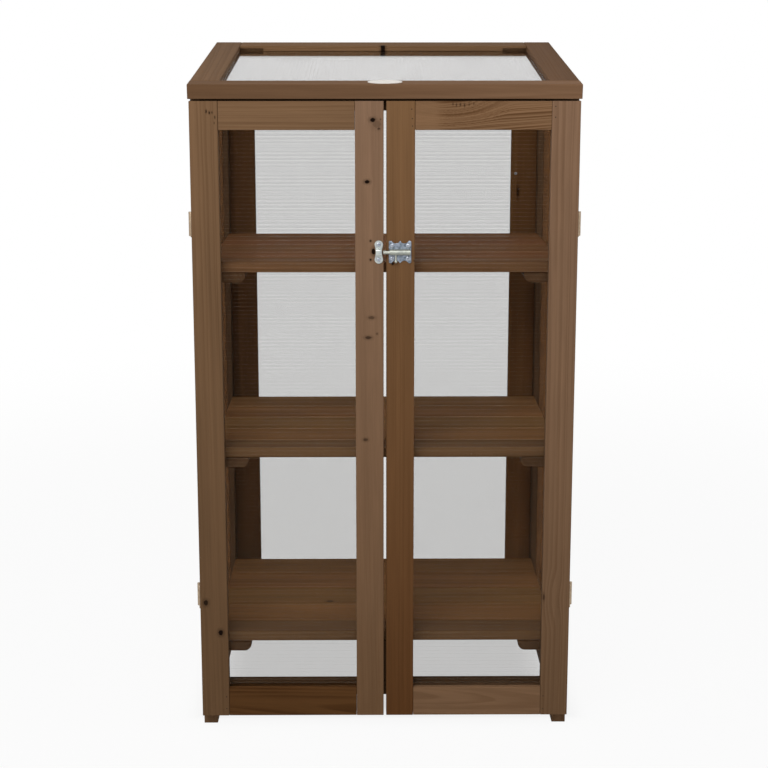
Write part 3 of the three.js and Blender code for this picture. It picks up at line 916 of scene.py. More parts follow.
def extruded(outline: Sequence[Vector], low: float, high: float, ease: float = 0.0) -> bmesh.types.BMesh:
    """A flat outline pushed along Z, with its two rims eased.

    Args:
        outline: The points in the plane of X and Y, turning left.
        low: Where it starts.
        high: Where it ends.
        ease: The size of the eased rims.

    Returns:
        The new mesh.
    """
    mesh = bmesh.new()
    loft(mesh, [[Vector((point.x, point.y, level)) for point in outline] for level in (low, high)])
    if ease:
        rims = [edge for edge in mesh.edges if abs(edge.verts[0].co.z - edge.verts[1].co.z) < SAME_HEIGHT]
        bmesh.ops.bevel(
            mesh, geom=rims, offset=ease, segments=2, profile=0.5, affect="EDGES", clamp_overlap=True,
        )
    return mesh


def lathed(profile: Sequence[tuple[float, float]], steps: int = 32) -> bmesh.types.BMesh:
    """A profile turned about Z.

    Args:
        profile: Radius and height of each point, from the low end to the high end. Both lie on the axis.
        steps: How many steps the turn has.

    Returns:
        The new mesh.
    """
    mesh = bmesh.new()
    rings: list[list[bmesh.types.BMVert]] = []
    for radius, height in profile:
        if radius <= 0:
            rings.append([mesh.verts.new((0, 0, height))])
        else:
            rings.append([mesh.verts.new((point.x, point.y, height)) for point in circle(radius, steps)])
    for low, high in zip(rings, rings[1:]):
        for index in range(steps):
            after = (index + 1) % steps
            below = [low[place % len(low)] for place in (index, after)]
            above = [high[place % len(high)] for place in (after, index)]
            mesh.faces.new(list(dict.fromkeys([*below, *above])))
    return mesh


def merged(target: bmesh.types.BMesh, source: bmesh.types.BMesh, matrix: Matrix = Matrix.Identity(4)) -> None:
    """Moves one mesh and adds it to another.

    Args:
        target: The mesh that grows.
        source: The mesh that is added, and freed.
        matrix: The move.
    """
    bmesh.ops.transform(source, matrix=matrix, verts=source.verts)
    if matrix.determinant() < 0:
        bmesh.ops.reverse_faces(source, faces=source.faces)
    scratch = bpy.data.meshes.new("scratch")
    source.to_mesh(scratch)
    source.free()
    target.from_mesh(scratch)
    bpy.data.meshes.remove(scratch)


class Cut(Enum):
    """What a boolean step does with the second solid."""

    ADD = "UNION"
    TAKE = "DIFFERENCE"


def combined(base: bmesh.types.BMesh, steps: Iterable[tuple[Cut, bmesh.types.BMesh]]) -> bmesh.types.BMesh:
    """Joins solids to a solid, or cuts them from it.

    Args:
        base: The first solid, which is freed.
        steps: What is done, in order, with solids that are freed.

    Returns:
        The new solid.
    """
    def scratch(mesh: bmesh.types.BMesh) -> bpy.types.Object:
        """Makes a short-lived object.

        Args:
            mesh: Its mesh, which is freed.

        Returns:
            The object.
        """
        data = bpy.data.meshes.new("scratch")
        mesh.to_mesh(data)
        mesh.free()
        solid = bpy.data.objects.new("scratch", data)
        bpy.context.scene.collection.objects.link(solid)
        return solid

    whole = scratch(base)
    tools = []
    for cut, tool in steps:
        tools.append(scratch(tool))
        modifier = whole.modifiers.new("cut", "BOOLEAN")
        modifier.operation = cut.value
        modifier.solver = "EXACT"
        modifier.object = tools[-1]
    graph = bpy.context.evaluated_depsgraph_get()
    result = bmesh.new()
    result.from_mesh(whole.evaluated_get(graph).to_mesh())
    whole.evaluated_get(graph).to_mesh_clear()
    for solid in (whole, *tools):
        data = solid.data
        bpy.data.objects.remove(solid)
        bpy.data.meshes.remove(data)
    return result


def block(low: Sequence[float], high: Sequence[float]) -> bmesh.types.BMesh:
    """A plain block that cuts or joins.

    Args:
        low: Its lowest corner.
        high: Its highest corner.

    Returns:
        The new mesh.
    """
    corners = ((low[0], low[1]), (high[0], low[1]), (high[0], high[1]), (low[0], high[1]))
    return extruded([Vector(corner) for corner in corners], low[2], high[2])


def add_piece(
    name: str,
    mesh: bmesh.types.BMesh,
    finish: Finish,
    body: str,
    replaced: Sequence[str] = (),
    matrix: Matrix = Matrix.Identity(4),
    weighted: bool = False,
    second: Optional[Finish] = None,
) -> bpy.types.Object:
    """Turns a mesh into a dressed piece that rides on its body.

    Args:
        name: The piece's name.
        mesh: Its mesh, which is freed.
        finish: Its finish.
        body: The body that carries it.
        replaced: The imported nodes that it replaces.
        matrix: The map from the mesh's axes to the model's.
        weighted: Keeps wide faces flat beside their rounded edges.
        second: The finish of the faces that are marked for a second material.

    Returns:
        The new piece.
    """
    bmesh.ops.transform(mesh, matrix=matrix, verts=mesh.verts)
    data = bpy.data.meshes.new(name)
    mesh.to_mesh(data)
    mesh.free()
    data.shade_smooth()
    data.set_sharp_from_angle(angle=SMOOTH_ANGLE)
    for dress in (finish, second):
        if dress is not None:
            data.materials.append(dressed_in(dress))
    piece = bpy.data.objects.new(name, data)
    bpy.context.scene.collection.objects.link(piece)
    if weighted:
        piece.modifiers.new("flat_faces", "WEIGHTED_NORMAL").keep_sharp = True
    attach(piece, body)
    if replaced:
        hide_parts(*replaced)
    LOG.info("%s rides on %s with %d faces", name, body, len(data.polygons))
    return piece


# Timber

@dataclass(frozen=True)
class Log:
    """Where a board was sawn from its log.

    Attributes:
        aside: The distance from the pith to the board's middle, across the board's face.
        behind: The distance from the pith to the board's middle, square to its face.
        lean: How far those two distances grow in a metre of board.
        start: The board's place along the trunk.
    """

    aside: float
    behind: float
    lean: tuple[float, float]
    start: float

    @classmethod
    def picked_for(cls, name: str) -> "Log":
        """A log that suits no other board, picked by the board's name.

        Args:
            name: The board's name.

        Returns:
            The log.
        """
        pick = random.Random(name)
        aside = pick.choice((-1, 1)) * pick.uniform(0.03, 0.11)
        lean = (pick.uniform(-0.02, 0.02), pick.uniform(-0.03, 0.03))
        return cls(aside, pick.uniform(0.02, 0.06), lean, pick.uniform(0, 9))


@dataclass(frozen=True)
class Board:
    """One planed board, drawn in its own axes.

    Attributes:
        box: The lowest and the highest corner.
        along: The way that it runs.
        face: The way that its wide face looks.
        log: Where it was sawn from.
        stain: How its stain differs from the common one, as a colour that multiplies it, with painted light on
            shelf decks.
        far_stain: The same at its far end, where that differs; on the door stiles that change is painted light and
            shade.
        ease: The radius of its long edges.
        end_ease: The size of its eased ends.
        groove: The box of the groove that a sheet sits in.
        far_fall: How far the far end drops in a metre from the back to the front.
        cut_corner: Which corner of the section is cut off, by the signs of its two sides.
        cut_size: How much is cut off.
    """

    box: Box
    along: Axis
    face: Axis
    log: Log
    stain: Colour = (1, 1, 1)
    far_stain: Optional[Colour] = None
    ease: float = 0.0016
    end_ease: float = 0.0005
    groove: Optional[Box] = None
    far_fall: float = 0.0
    cut_corner: Optional[tuple[int, int]] = None
    cut_size: float = 0.0

    def corners(self) -> list[Corner]:
        """The section's corners, with any cut corner and groove.

        Returns:
            The corners, turning left.
        """
        u, v = self.along.across
        (low_u, low_v), (high_u, high_v) = ((corner[u], corner[v]) for corner in self.box)
        corners = []
        for side_u, side_v in ((-1, -1), (1, -1), (1, 1), (-1, 1)):
            at_u = low_u if side_u < 0 else high_u
            at_v = low_v if side_v < 0 else high_v
            if self.cut_corner == (side_u, side_v):
                first = Corner(at_u, at_v - side_v * self.cut_size, self.cut_size / 2)
                second = Corner(at_u - side_u * self.cut_size, at_v, self.cut_size / 2)
                corners += [first, second] if side_u * side_v > 0 else [second, first]
            else:
                corners.append(Corner(at_u, at_v, self.ease))
            corners += self.groove_corners(side_u, side_v)
        return corners

    def groove_corners(self, side_u: int, side_v: int) -> list[Corner]:
        """The groove's corners, if it opens on the side that follows a corner of the section.

        Args:
            side_u: The corner's side on the first axis across the board.
            side_v: The corner's side on the second.

        Returns:
            Four corners, or none.
        """
        if self.groove is None:
            return []
        u, v = self.along.across
        low, high = self.box
        start, end = self.groove
        if (side_u, side_v) in ((-1, -1), (1, 1)):
            opens = start[v] < low[v] if side_v < 0 else end[v] > high[v]
            edge, floor = (low[v], end[v]) if side_v < 0 else (high[v], start[v])
            near, far = (start[u], end[u]) if side_v < 0 else (end[u], start[u])
            points = [(near, edge), (near, floor), (far, floor), (far, edge)]
        else:
            opens = end[u] > high[u] if side_u > 0 else start[u] < low[u]
            edge, floor = (high[u], start[u]) if side_u > 0 else (low[u], end[u])
            near, far = (start[v], end[v]) if side_u > 0 else (end[v], start[v])
            points = [(edge, near), (floor, near), (floor, far), (edge, far)]
        return [Corner(*point, GROOVE_MOUTH, True) for point in points] if opens else []

    def flush(self, corner: Corner) -> tuple[float, float]:
        """A groove's point moved out to the face that the groove opens on.

        Args:
            corner: The point.

        Returns:
            Its new place on the two axes across the board.
        """
        u, v = self.along.across
        low, high = self.box
        start, end = self.groove
        if start[u] < low[u]:
            return low[u], corner.v
        if end[u] > high[u]:
            return high[u], corner.v
        if start[v] < low[v]:
            return corner.u, low[v]
        return corner.u, high[v]

    def stations(self) -> list[tuple[float, bool, float, bool]]:
        """The places along the board where its section is drawn.

        Returns:
            For each, its place, whether the groove is open there, how far the section is drawn in, and
            whether the far end's slope moves it.
        """
        w = self.along.value
        low, high = self.box[0][w], self.box[1][w]
        step = GROOVE_MOUTH
        stops = []
        start_open = end_open = False
        if self.groove is not None:
            first, last = self.groove[0][w], self.groove[1][w]
            start_open, end_open = first <= low + step, last >= high - step
            if not start_open:
                stops += [(first - step, False, 0.0, False), (first, True, 0.0, False)]
            if not end_open:
                stops += [(last, True, 0.0, False), (last + step, False, 0.0, False)]
        near = [(low, start_open, self.end_ease, False), (low + self.end_ease, start_open, 0.0, False)]
        far = [(high - self.end_ease, end_open, 0.0, True), (high, end_open, self.end_ease, True)]
        return [*near, *stops, *far]

    def sections(self) -> list[list[Vector]]:
        """The board's sections.

        Returns:
            The points of each section, in order along the board.
        """
        u, v = self.along.across
        low, high = self.box
        outline = rounded(self.corners())
        sections = []
        for place, is_open, inset, slopes in self.stations():
            section = []
            for corner in outline:
                at_u, at_v = corner[:2]
                if corner.sunk and not is_open:
                    at_u, at_v = self.flush(corner)
                point = Vector((0, 0, 0))
                point[u] = min(max(at_u, low[u] + inset), high[u] - inset)
                point[v] = min(max(at_v, low[v] + inset), high[v] - inset)
                point[self.along.value] = place
                if slopes:
                    point[self.along.value] -= self.far_fall * (high.y - point.y)
                section.append(point)
            sections.append(section)
        return sections

    def stain_at(self, point: Vector) -> tuple[float, float, float, float]:
        """The stain at a point.

        Args:
            point: The point, in the board's axes.

        Returns:
            The colour, with a last number that fills it up.
        """
        low, high = (corner[self.along.value] for corner in self.box)
        share = (point[self.along.value] - low) / (high - low)
        far = self.far_stain or self.stain
        return (*(near + (end - near) * share for near, end in zip(self.stain, far)), 1)

    def in_log(self, point: Vector) -> Vector:
        """A point's place in the log, with the pith on the first axis.

        Args:
            point: The point, in the board's axes.

        Returns:
            Its place along, beside and before the pith.
        """
        middle = (self.box[0] + self.box[1]) / 2
        off = point - middle
        run = off[self.along.value]
        aside = next(axis for axis in range(3) if axis not in (self.along.value, self.face.value))
        return Vector((
            run + self.log.start,
            off[aside] + self.log.aside + self.log.lean[0] * run,
            off[self.face.value] + self.log.behind + self.log.lean[1] * run,
        ))


class Timber:
    """Boards gathered into one mesh, which stores each point's place in its log and its stain, with any painted
    light and shade.
    """

    def __init__(self) -> None:
        """Starts with no boards."""
        self.mesh = bmesh.new()
        self.log = self.mesh.verts.layers.float_vector.new("log")
        self.stain = self.mesh.verts.layers.float_color.new("stain")

    def add(self, board: Board) -> "Timber":
        """Adds a board.

        Args:
            board: The board.

        Returns:
            This timber, so that calls can follow each other.
        """
        for vertex in loft(self.mesh, board.sections()):
            vertex[self.log] = board.in_log(vertex.co)
            vertex[self.stain] = board.stain_at(vertex.co)
        return self

    def piece(self, node: str, finish: StainedWood, slot: Slot, place: Place = MODEL) -> bpy.types.Object:
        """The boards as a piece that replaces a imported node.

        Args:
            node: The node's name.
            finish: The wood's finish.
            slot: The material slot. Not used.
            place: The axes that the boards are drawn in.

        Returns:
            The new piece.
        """
        bmesh.ops.remove_doubles(self.mesh, verts=self.mesh.verts, dist=WELD)
        bmesh.ops.dissolve_degenerate(self.mesh, edges=self.mesh.edges, dist=SLIVER)
        name = f"{node}_board"
        return add_piece(name, self.mesh, finish, body_of(node), [node], place.matrix, weighted=True)


def groove_box(sheet: Box, thin: Axis) -> Box:
    """The box of the groove round a sheet.

    Args:
        sheet: The sheet's box.
        thin: The way across the sheet.

    Returns:
        The sheet's box, grown by its clearance.
    """
    slack = Vector((EDGE_SLACK, EDGE_SLACK, EDGE_SLACK))
    slack[thin.value] = FACE_SLACK
    return grown(sheet, slack)


# Clear sheets

@dataclass(frozen=True)
class TwinWallSheet:
    """A clear sheet of two thin walls that ribs hold apart.

    Attributes:
        node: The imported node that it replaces.
        flutes: The way that its hollow channels run.
        place: The axes that it is drawn in.
        pitch: The distance between ribs.
        wall: The thickness of each wall.
        rib: The thickness of each rib.
        sink: How deep the faces sink along each rib.
        shoulder_share: How much of a channel's width the sink takes on each side.
        line: The width of the milky line that each rib draws on the faces.
        finish: The plastic of its walls.
        rib_finish: The plastic of its ribs and of the lines that they draw.
    """

    node: str
    flutes: Axis
    place: Place = MODEL
    pitch: float = 0.006
    wall: float = 0.00045
    rib: float = 0.0004
    sink: float = 0.00005
    shoulder_share: float = 0.28
    line: float = 0.0007
    finish: ClearPlastic = SHEET_PLASTIC
    rib_finish: ClearPlastic = RIB_PLASTIC

    def build(self) -> bpy.types.Object:
        """Builds the sheet and cuts its sloping end, if it has one.

        Returns:
            The new piece.
        """
        low, high = self.place.box(self.node)
        size = high - low
        thin = min(range(3), key=lambda axis: size[axis])
        stack = next(axis for axis in range(3) if axis not in (thin, self.flutes.value))
        mesh = bmesh.new()
        self.skin(mesh, low, high, stack, thin)
        self.cut_slope(mesh, low, high)
        bmesh.ops.recalc_face_normals(mesh, faces=mesh.faces)
        return add_piece(
            f"{self.node}_twin_wall", mesh, self.finish, body_of(self.node), [self.node],
            self.place.matrix, second=self.rib_finish,
        )

    def skin(self, mesh: bmesh.types.BMesh, low: Vector, high: Vector, stack: int, thin: int) -> None:
        """Makes the walls, ribs and channels as one closed skin.

        Args:
            mesh: The mesh that they join.
            low: The sheet's lowest corner.
            high: Its highest corner.
            stack: The axis along which the channels follow each other.
            thin: The axis across the sheet.
        """
        flute = self.flutes.value
        count = round((high[stack] - low[stack]) / self.pitch)
        step = (high[stack] - low[stack]) / count
        ends = (low[flute], high[flute])

        def vertex(along_stack: float, side: int, depth: float, end: int) -> bmesh.types.BMVert:
            """Adds a corner.

            Args:
                along_stack: Its place along the stack.
                side: Its wall, 0 or 1.
                depth: Its depth under that wall's face.
                end: Its end of the channels, 0 or 1.

            Returns:
                The corner.
            """
            point = Vector((0, 0, 0))
            point[stack] = along_stack
            point[thin] = low[thin] + depth if side == 0 else high[thin] - depth
            point[flute] = ends[end]
            return mesh.verts.new(point)

        def pair(place: float) -> list[list[bmesh.types.BMVert]]:
            """The corners of both walls at both ends, at a place along the stack."""
            return [[vertex(place, side, self.sink, end) for side in (0, 1)] for end in (0, 1)]

        def crest(index: int) -> tuple[list[list[bmesh.types.BMVert]], list[list[bmesh.types.BMVert]]]:
            """Draws the line of a rib.

            Args:
                index: The rib's number.

            Returns:
                The corners on the line's two sides.
            """
            place = low[stack] + index * step
            if index in (0, count):
                edge = pair(place)
                return edge, edge
            left, right = pair(place - self.line / 2), pair(place + self.line / 2)
            for side in (0, 1):
                band = (left[0][side], right[0][side], right[1][side], left[1][side])
                mesh.faces.new(band).material_index = 1
            for end in (0, 1):
                mesh.faces.new((*left[end], *right[end][::-1]))
            return left, right

        before = crest(0)[1]
        mesh.faces.new((before[0][0], before[0][1], before[1][1], before[1][0]))
        for index in range(count):
            start = low[stack] + index * step
            shoulders = (start + step * self.shoulder_share, start + step * (1 - self.shoulder_share))
            walls = (start + self.rib / 2, start + step - self.rib / 2)
            outer, inner = (
                [[[vertex(at, side, depth, end) for at in places] for side in (0, 1)] for end in (0, 1)]
                for places, depth in ((shoulders, 0), (walls, self.wall))
            )
            after, following = crest(index + 1)
            for side in (0, 1):
                rows = [[before[end][side], *outer[end][side], after[end][side]] for end in (0, 1)]
                for near, far in zip(zip(*rows), list(zip(*rows))[1:]):
                    mesh.faces.new((near[0], far[0], far[1], near[1]))
                mesh.faces.new((*inner[0][side], *inner[1][side][::-1]))
                rib = (inner[0][0][side], inner[0][1][side], inner[1][1][side], inner[1][0][side])
                mesh.faces.new(rib).material_index = 1
                for end in (0, 1):
                    mesh.faces.new((*rows[end], *inner[end][side][::-1]))
            for end in (0, 1):
                mesh.faces.new((*before[end], inner[end][1][0], inner[end][0][0]))
                mesh.faces.new((*after[end], inner[end][1][1], inner[end][0][1]))
            before = following
        mesh.faces.new((before[0][0], before[0][1], before[1][1], before[1][0]))

    def cut_slope(self, mesh: bmesh.types.BMesh, low: Vector, high: Vector) -> None:
        """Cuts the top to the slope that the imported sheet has.

        Args:
            mesh: The sheet's mesh.
            low: The sheet's lowest corner.
            high: Its highest corner.
        """
        middle = (low.y + high.y) / 2
        points = self.place.points(self.node)
        front_top = max(point.z for point in points if point.y < middle)
        if self.flutes is not Axis.Y or high.z - front_top < self.pitch:
            return
        slope = Vector((0, low.y - high.y, front_top - high.z))
        geometry = [*mesh.verts, *mesh.edges, *mesh.faces]
        found = bmesh.ops.bisect_plane(
            mesh, geom=geometry, plane_co=high, plane_no=slope.cross(Vector((1, 0, 0))), clear_outer=True,
        )
        rim = [item for item in found["geom_cut"] if isinstance(item, bmesh.types.BMEdge)]
        bmesh.ops.triangle_fill(mesh, use_beauty=True, edges=rim)


# Fasteners

@dataclass(frozen=True)
class ScrewHead:
    """The domed head of a cross-headed screw, or of a brad where it has no cross.

    Attributes:
        radius: The head's radius.
        height: The height of its dome.
        arm: Half the length of the cross.
        slot: Half the width of the cross's arms.
        depth: How deep the cross is pressed.
        rings: How many rings of faces its dome has.
        steps: How many faces each ring has.
        foot_share: The share of its radius that its foot has.
        dome_power: How flat the dome's middle is.
        slot_slope: The share of the arms' half width over which their sides slope.
        arm_slope: The share of the arms' length over which their ends slope.
    """

    radius: float
    height: float
    arm: float = 0.0
    slot: float = 0.0
    depth: float = 0.0
    rings: int = 14
    steps: int = 40
    foot_share: float = 0.96
    dome_power: float = 2.4
    slot_slope: float = 0.4
    arm_slope: float = 0.3

    def mesh(self, matrix: Matrix, turn: float = 0.0) -> bmesh.types.BMesh:
        """The head with its dome along Z.

        Args:
            matrix: Where it stands.
            turn: The angle of its cross.

        Returns:
            The new mesh.
        """
        head = bmesh.new()
        crown = head.verts.new((0, 0, self.level(0, 0)))
        rows = [[crown] * self.steps]
        for ring in range(1, self.rings + 1):
            points = circle(self.radius * math.sin(math.pi / 2 * ring / self.rings), self.steps)
            rows.append([head.verts.new((*point, self.level(*point))) for point in points])
        foot = circle(self.radius * self.foot_share, self.steps)
        rows.append([head.verts.new((*point, -self.height)) for point in foot])
        for inner, outer in zip(rows, rows[1:]):
            for index in range(self.steps):
                after = (index + 1) % self.steps
                corners = (inner[index], outer[index], outer[after], inner[after])
                head.faces.new(list(dict.fromkeys(corners)))
        head.faces.new(rows[-1][::-1])
        bmesh.ops.transform(head, matrix=matrix @ Matrix.Rotation(turn, 4, "Z"), verts=head.verts)
        return head

    def level(self, x: float, y: float) -> float:
        """The height of the dome at a point, with the cross pressed into it.

        Args:
            x: The point's place along one arm of the cross.
            y: Its place along the other.

        Returns:
            The height over the head's rim.
        """
        share = min(math.hypot(x, y) / self.radius, 1)
        dome = self.height * math.sqrt(max(0.0, 1 - share ** self.dome_power))
        if not self.depth:
            return dome
        long_way, short_way = max(abs(x), abs(y)), min(abs(x), abs(y))
        inside = min(1.0, max(0.0, (self.slot - short_way) / (self.slot * self.slot_slope)))
        within = min(1.0, max(0.0, (self.arm - long_way) / (self.arm * self.arm_slope)))
        return dome - self.depth * inside * within


PAN_SCREW = ScrewHead(0.0034, 0.0014, arm=0.0022, slot=0.0006, depth=0.0009)
FLAT_SCREW = ScrewHead(0.0023, 0.00035, arm=0.0016, slot=0.00045, depth=0.0005)
BRAD = ScrewHead(0.0009, 0.0002, rings=4, steps=16)


def facing(point: Vector, way: Vector) -> Matrix:
    """A place at a point, whose Z looks one way.

    Args:
        point: The place.
        way: Where its Z looks.

    Returns:
        The place as a matrix.
    """
    return Matrix.Translation(point) @ way.to_track_quat("Z", "Y").to_matrix().to_4x4()


def add_heads(
    name: str, head: ScrewHead, spots: Sequence[tuple[Vector, Vector]], finish: Finish, body: str,
) -> None:
    """Sets screw or brad heads in place, as one piece.

    Args:
        name: The piece's name.
        head: The kind of head.
        spots: Each head's place and the way it looks.
        finish: Their finish.
        body: The body that carries them.
    """
    mesh = bmesh.new()
    pick = random.Random(name)
    for point, way in spots:
        merged(mesh, head.mesh(facing(point, way), pick.uniform(0, math.pi / 2)))
    add_piece(name, mesh, finish, body)


# Hinges

@dataclass(frozen=True)
class ButtHinge:
    """A small butt hinge with rolled knuckles, drawn with its pin on Z, its leaf along X and its wood at -Y.

    Attributes:
        length: The hinge's length along its pin.
        moving_reach: From the pin's middle to the far edge of the leaf that turns.
        fixed_reach: The same for the leaf that stays.
        knuckle: The knuckles' outer radius.
        pin: The pin's radius.
        leaf: The leaves' thickness.
        knuckle_share: Each end knuckle's share of the length.
        slack: The gap between knuckles, and between them and the leaves' plates.
        pin_slack: The gap between the pin and the knuckles.
        corner: The radius of the leaves' corners.
        overlap: How far the rolled part runs into its plate.
        roll: The angle that the leaf is rolled through.
        roll_steps: How many steps the roll has.
        plate_ease: The size of the plates' eased rims.
        roll_ease: The size of the knuckles' eased rims.
        head: How much wider than the pin its heads are.
        rise: The height of the pin's domed heads, and of their eased rims.
        screw_shift: How far the screws stand beyond the middle of the leaf.
        screw_share: Each screw's share of the length, from the middle.
    """

    length: float
    moving_reach: float
    fixed_reach: float
    knuckle: float = 0.0029
    pin: float = 0.0015
    leaf: float = 0.0014
    knuckle_share: float = 1 / 3
    slack: float = 0.0003
    pin_slack: float = 0.0001
    corner: float = 0.0022
    overlap: float = 0.001
    roll: float = 1.9 * math.pi
    roll_steps: int = 26
    plate_ease: float = 0.0002
    roll_ease: float = 0.00015
    head: float = 0.0006
    rise: float = 0.0002
    screw_shift: float = 0.0008
    screw_share: float = 1 / 3.2

    def stretches(self, moving: bool) -> list[tuple[float, float]]:
        """The heights between which a leaf has knuckles.

        Args:
            moving: Whether it is the leaf that turns.

        Returns:
            The lower and the upper height of each knuckle.
        """
        half = self.length / 2
        edge = half - self.length * self.knuckle_share
        if moving:
            return [(-edge + self.slack / 2, edge - self.slack / 2)]
        return [(-half, -edge - self.slack / 2), (edge + self.slack / 2, half)]

    def rolled(self, reach: float) -> list[Vector]:
        """The section of a leaf that rolls round the pin.

        Args:
            reach: How far it runs from the pin's middle into the plate.

        Returns:
            The points, turning left.
        """
        bore = self.pin + self.pin_slack
        outer = circle(self.knuckle, self.roll_steps, start=-math.pi / 2, turn=-self.roll)
        inner = circle(bore, self.roll_steps, start=-math.pi / 2 - self.roll, turn=self.roll)
        top = self.leaf - self.knuckle
        plate = [Vector((bore, top)), Vector((reach, top)), Vector((reach, -self.knuckle))]
        return [*outer, *inner, *plate][::-1]

    def leaf_mesh(self, moving: bool) -> bmesh.types.BMesh:
        """One leaf, with the pin on the fixed one.

        Args:
            moving: Whether it is the leaf that turns.

        Returns:
            The new mesh.
        """
        reach = self.moving_reach if moving else self.fixed_reach
        half = self.length / 2
        clear = self.knuckle + self.slack
        low, high = -self.knuckle, self.leaf - self.knuckle
        plate = rounded([
            Corner(clear, -half), Corner(reach, -half, self.corner),
            Corner(reach, half, self.corner), Corner(clear, half),
        ], FINE_ARC_STEPS)
        base = extruded([Vector(point[:2]) for point in plate], low, high, self.plate_ease)
        whole = bmesh.new()
        merged(whole, base, SWAP_Y_Z)
        steps = []
        for start, end in self.stretches(moving):
            steps.append((Cut.ADD, extruded(self.rolled(clear + self.overlap), start, end, self.roll_ease)))
        whole = combined(whole, steps)
        if not moving:
            cap = self.pin + self.head
            merged(whole, lathed([
                (0, -half - self.rise), (cap, -half), (self.pin, -half + self.rise),
                (self.pin, half - self.rise), (cap, half), (0, half + self.rise),
            ]))
        return whole

    def build(self, node: str, pin: Vector, plate_way: Vector, off_wood: Vector, moving: bool) -> None:
        """Builds a leaf and its screws.

        Args:
            node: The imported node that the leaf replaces.
            pin: The middle of the pin.
            plate_way: Where the leaf runs.
            off_wood: Where its free face looks.
            moving: Whether it is the leaf that turns.
        """
        pin_way = plate_way.cross(off_wood)
        turn = Matrix((plate_way, off_wood, pin_way)).transposed().to_4x4()
        place = Matrix.Translation(pin) @ turn
        body = body_of(node)
        add_piece(f"{node}_rolled", self.leaf_mesh(moving), HINGE_STEEL, body, [node], place)
        reach = self.moving_reach if moving else self.fixed_reach
        out = (self.knuckle + reach) / 2 + self.screw_shift
        spots = []
        for share in (-self.screw_share, self.screw_share):
            spots.append((place @ Vector((out, self.leaf - self.knuckle, self.length * share)), off_wood))
        add_heads(f"{node}_screws", FLAT_SCREW, spots, HINGE_STEEL, body)


DOOR_HINGE = ButtHinge(length=0.037, moving_reach=0.017, fixed_reach=0.024)
LID_HINGE = ButtHinge(length=0.050, moving_reach=0.024, fixed_reach=0.026)


# The cabinet

@dataclass(frozen=True)
class SideFrame:
    """One side of the cabinet: two posts, two rails and their sheet.

    Attributes:
        side: Which side it is.
        post_stain: How the posts' stain differs.
        rail_stain: How the rails' stain differs.
        reach: How far a groove's box passes the mouth of the groove.
    """

    side: Side
    post_stain: Colour = (0.94, 0.93, 0.92)
    rail_stain: Colour = (0.97, 0.96, 0.95)
    reach: float = 0.002

    def build(self) -> None:
        """Builds the side's pieces."""
        sheet = f"{self.side.word}_side_sheet"
        TwinWallSheet(sheet, Axis.Y, finish=SIDE_PLASTIC, rib_finish=SIDE_RIB_PLASTIC).build()
        self.build_posts(sheet)
        self.build_rails(sheet)

    def build_posts(self, sheet: str) -> None:
        """Builds the posts, whose tops follow the roof.

        Args:
            sheet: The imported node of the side's sheet.
        """
        points = MODEL.points(sheet)
        low, high = MODEL.box(sheet)
        middle = (low.y + high.y) / 2
        for place in ("front", "back"):
            node = f"{place}_{self.side.word}_post"
            near = [point for point in points if (point.y < middle) == (place == "front")]
            top = max(point.z for point in near)
            groove = groove_box((low, Vector((high.x, high.y, top))), Axis.X)
            board = Board(
                MODEL.box(node), Axis.Z, Axis.X, Log.picked_for(node), self.post_stain, groove=groove,
                far_fall=math.tan(ROOF_PITCH),
            )
            Timber().add(board).piece(node, PLAIN_WOOD, Slot.WOOD)

    def build_rails(self, sheet: str) -> None:
        """Builds the bottom rail, and the top rail that runs along the roof.

        Args:
            sheet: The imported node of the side's sheet.
        """
        for word, place in (("bottom", MODEL), ("top", ALONG_ROOF)):
            node = f"{self.side.word}_side_{word}_rail"
            rail = place.box(node)
            groove = groove_box(place.box(sheet), Axis.X)
            if word == "bottom":
                groove[1].z = rail[1].z + self.reach
            else:
                groove[0].z = rail[0].z - self.reach
            board = Board(rail, Axis.Y, Axis.X, Log.picked_for(node), self.rail_stain, groove=groove)
            Timber().add(board).piece(node, PLAIN_WOOD, Slot.WOOD, place)


@dataclass(frozen=True)
class BackFrame:
    """The back of the cabinet: two stiles, two rails and their sheet.

    Attributes:
        stain: How the stain of its members differs.
        right_stains: The same for its right stile, at the foot and at the top.
        screw: The place across and the height of the small screw in its right stile.
    """

    stain: Colour = (0.86, 0.70, 0.52)
    right_stains: tuple[Colour, Colour] = ((1.60, 1.30, 0.90), (0.98, 0.80, 0.55))
    screw: tuple[float, float] = (0.2331, 0.8543)

    def build(self) -> None:
        """Builds the back's pieces."""
        TwinWallSheet("back_sheet", Axis.X).build()
        groove = groove_box(MODEL.box("back_sheet"), Axis.Y)
        members = {
            "back_left_stile": Axis.Z,
            "back_right_stile": Axis.Z,
            "back_top_rail": Axis.X,
            "back_bottom_rail": Axis.X,
        }
        for node, along in members.items():
            is_right = node == "back_right_stile"
            stains = self.right_stains if is_right else (self.stain, self.stain)
            board = Board(MODEL.box(node), along, Axis.Y, Log.picked_for(node), *stains, groove=groove)
            Timber().add(board).piece(node, RIGHT_BACK_WOOD if is_right else PLAIN_WOOD, Slot.INSIDE_WOOD)
        face = MODEL.box("back_right_stile")[0].y
        spot = (Vector((self.screw[0], face, self.screw[1])), TO_FRONT)
        add_heads("back_stile_screw", FLAT_SCREW, [spot], PALE_ZINC, body_of("back_sheet"))


@dataclass(frozen=True)
class FrontBattens:
    """The battens and the block that the doors close against.

    Attributes:
        stain: How their stain differs.
    """

    stain: Colour = (0.62, 0.58, 0.54)

    def build(self) -> None:
        """Builds the battens and the block."""
        members = {
            "front_top_batten": (Axis.X, Slot.WOOD),
            "front_bottom_batten": (Axis.X, Slot.WOOD),
            "door_stop_block": (Axis.Z, Slot.INSIDE_WOOD),
        }
        for node, (along, slot) in members.items():
            board = Board(MODEL.box(node), along, Axis.Y, Log.picked_for(node), self.stain)
            Timber().add(board).piece(node, PLAIN_WOOD, slot)


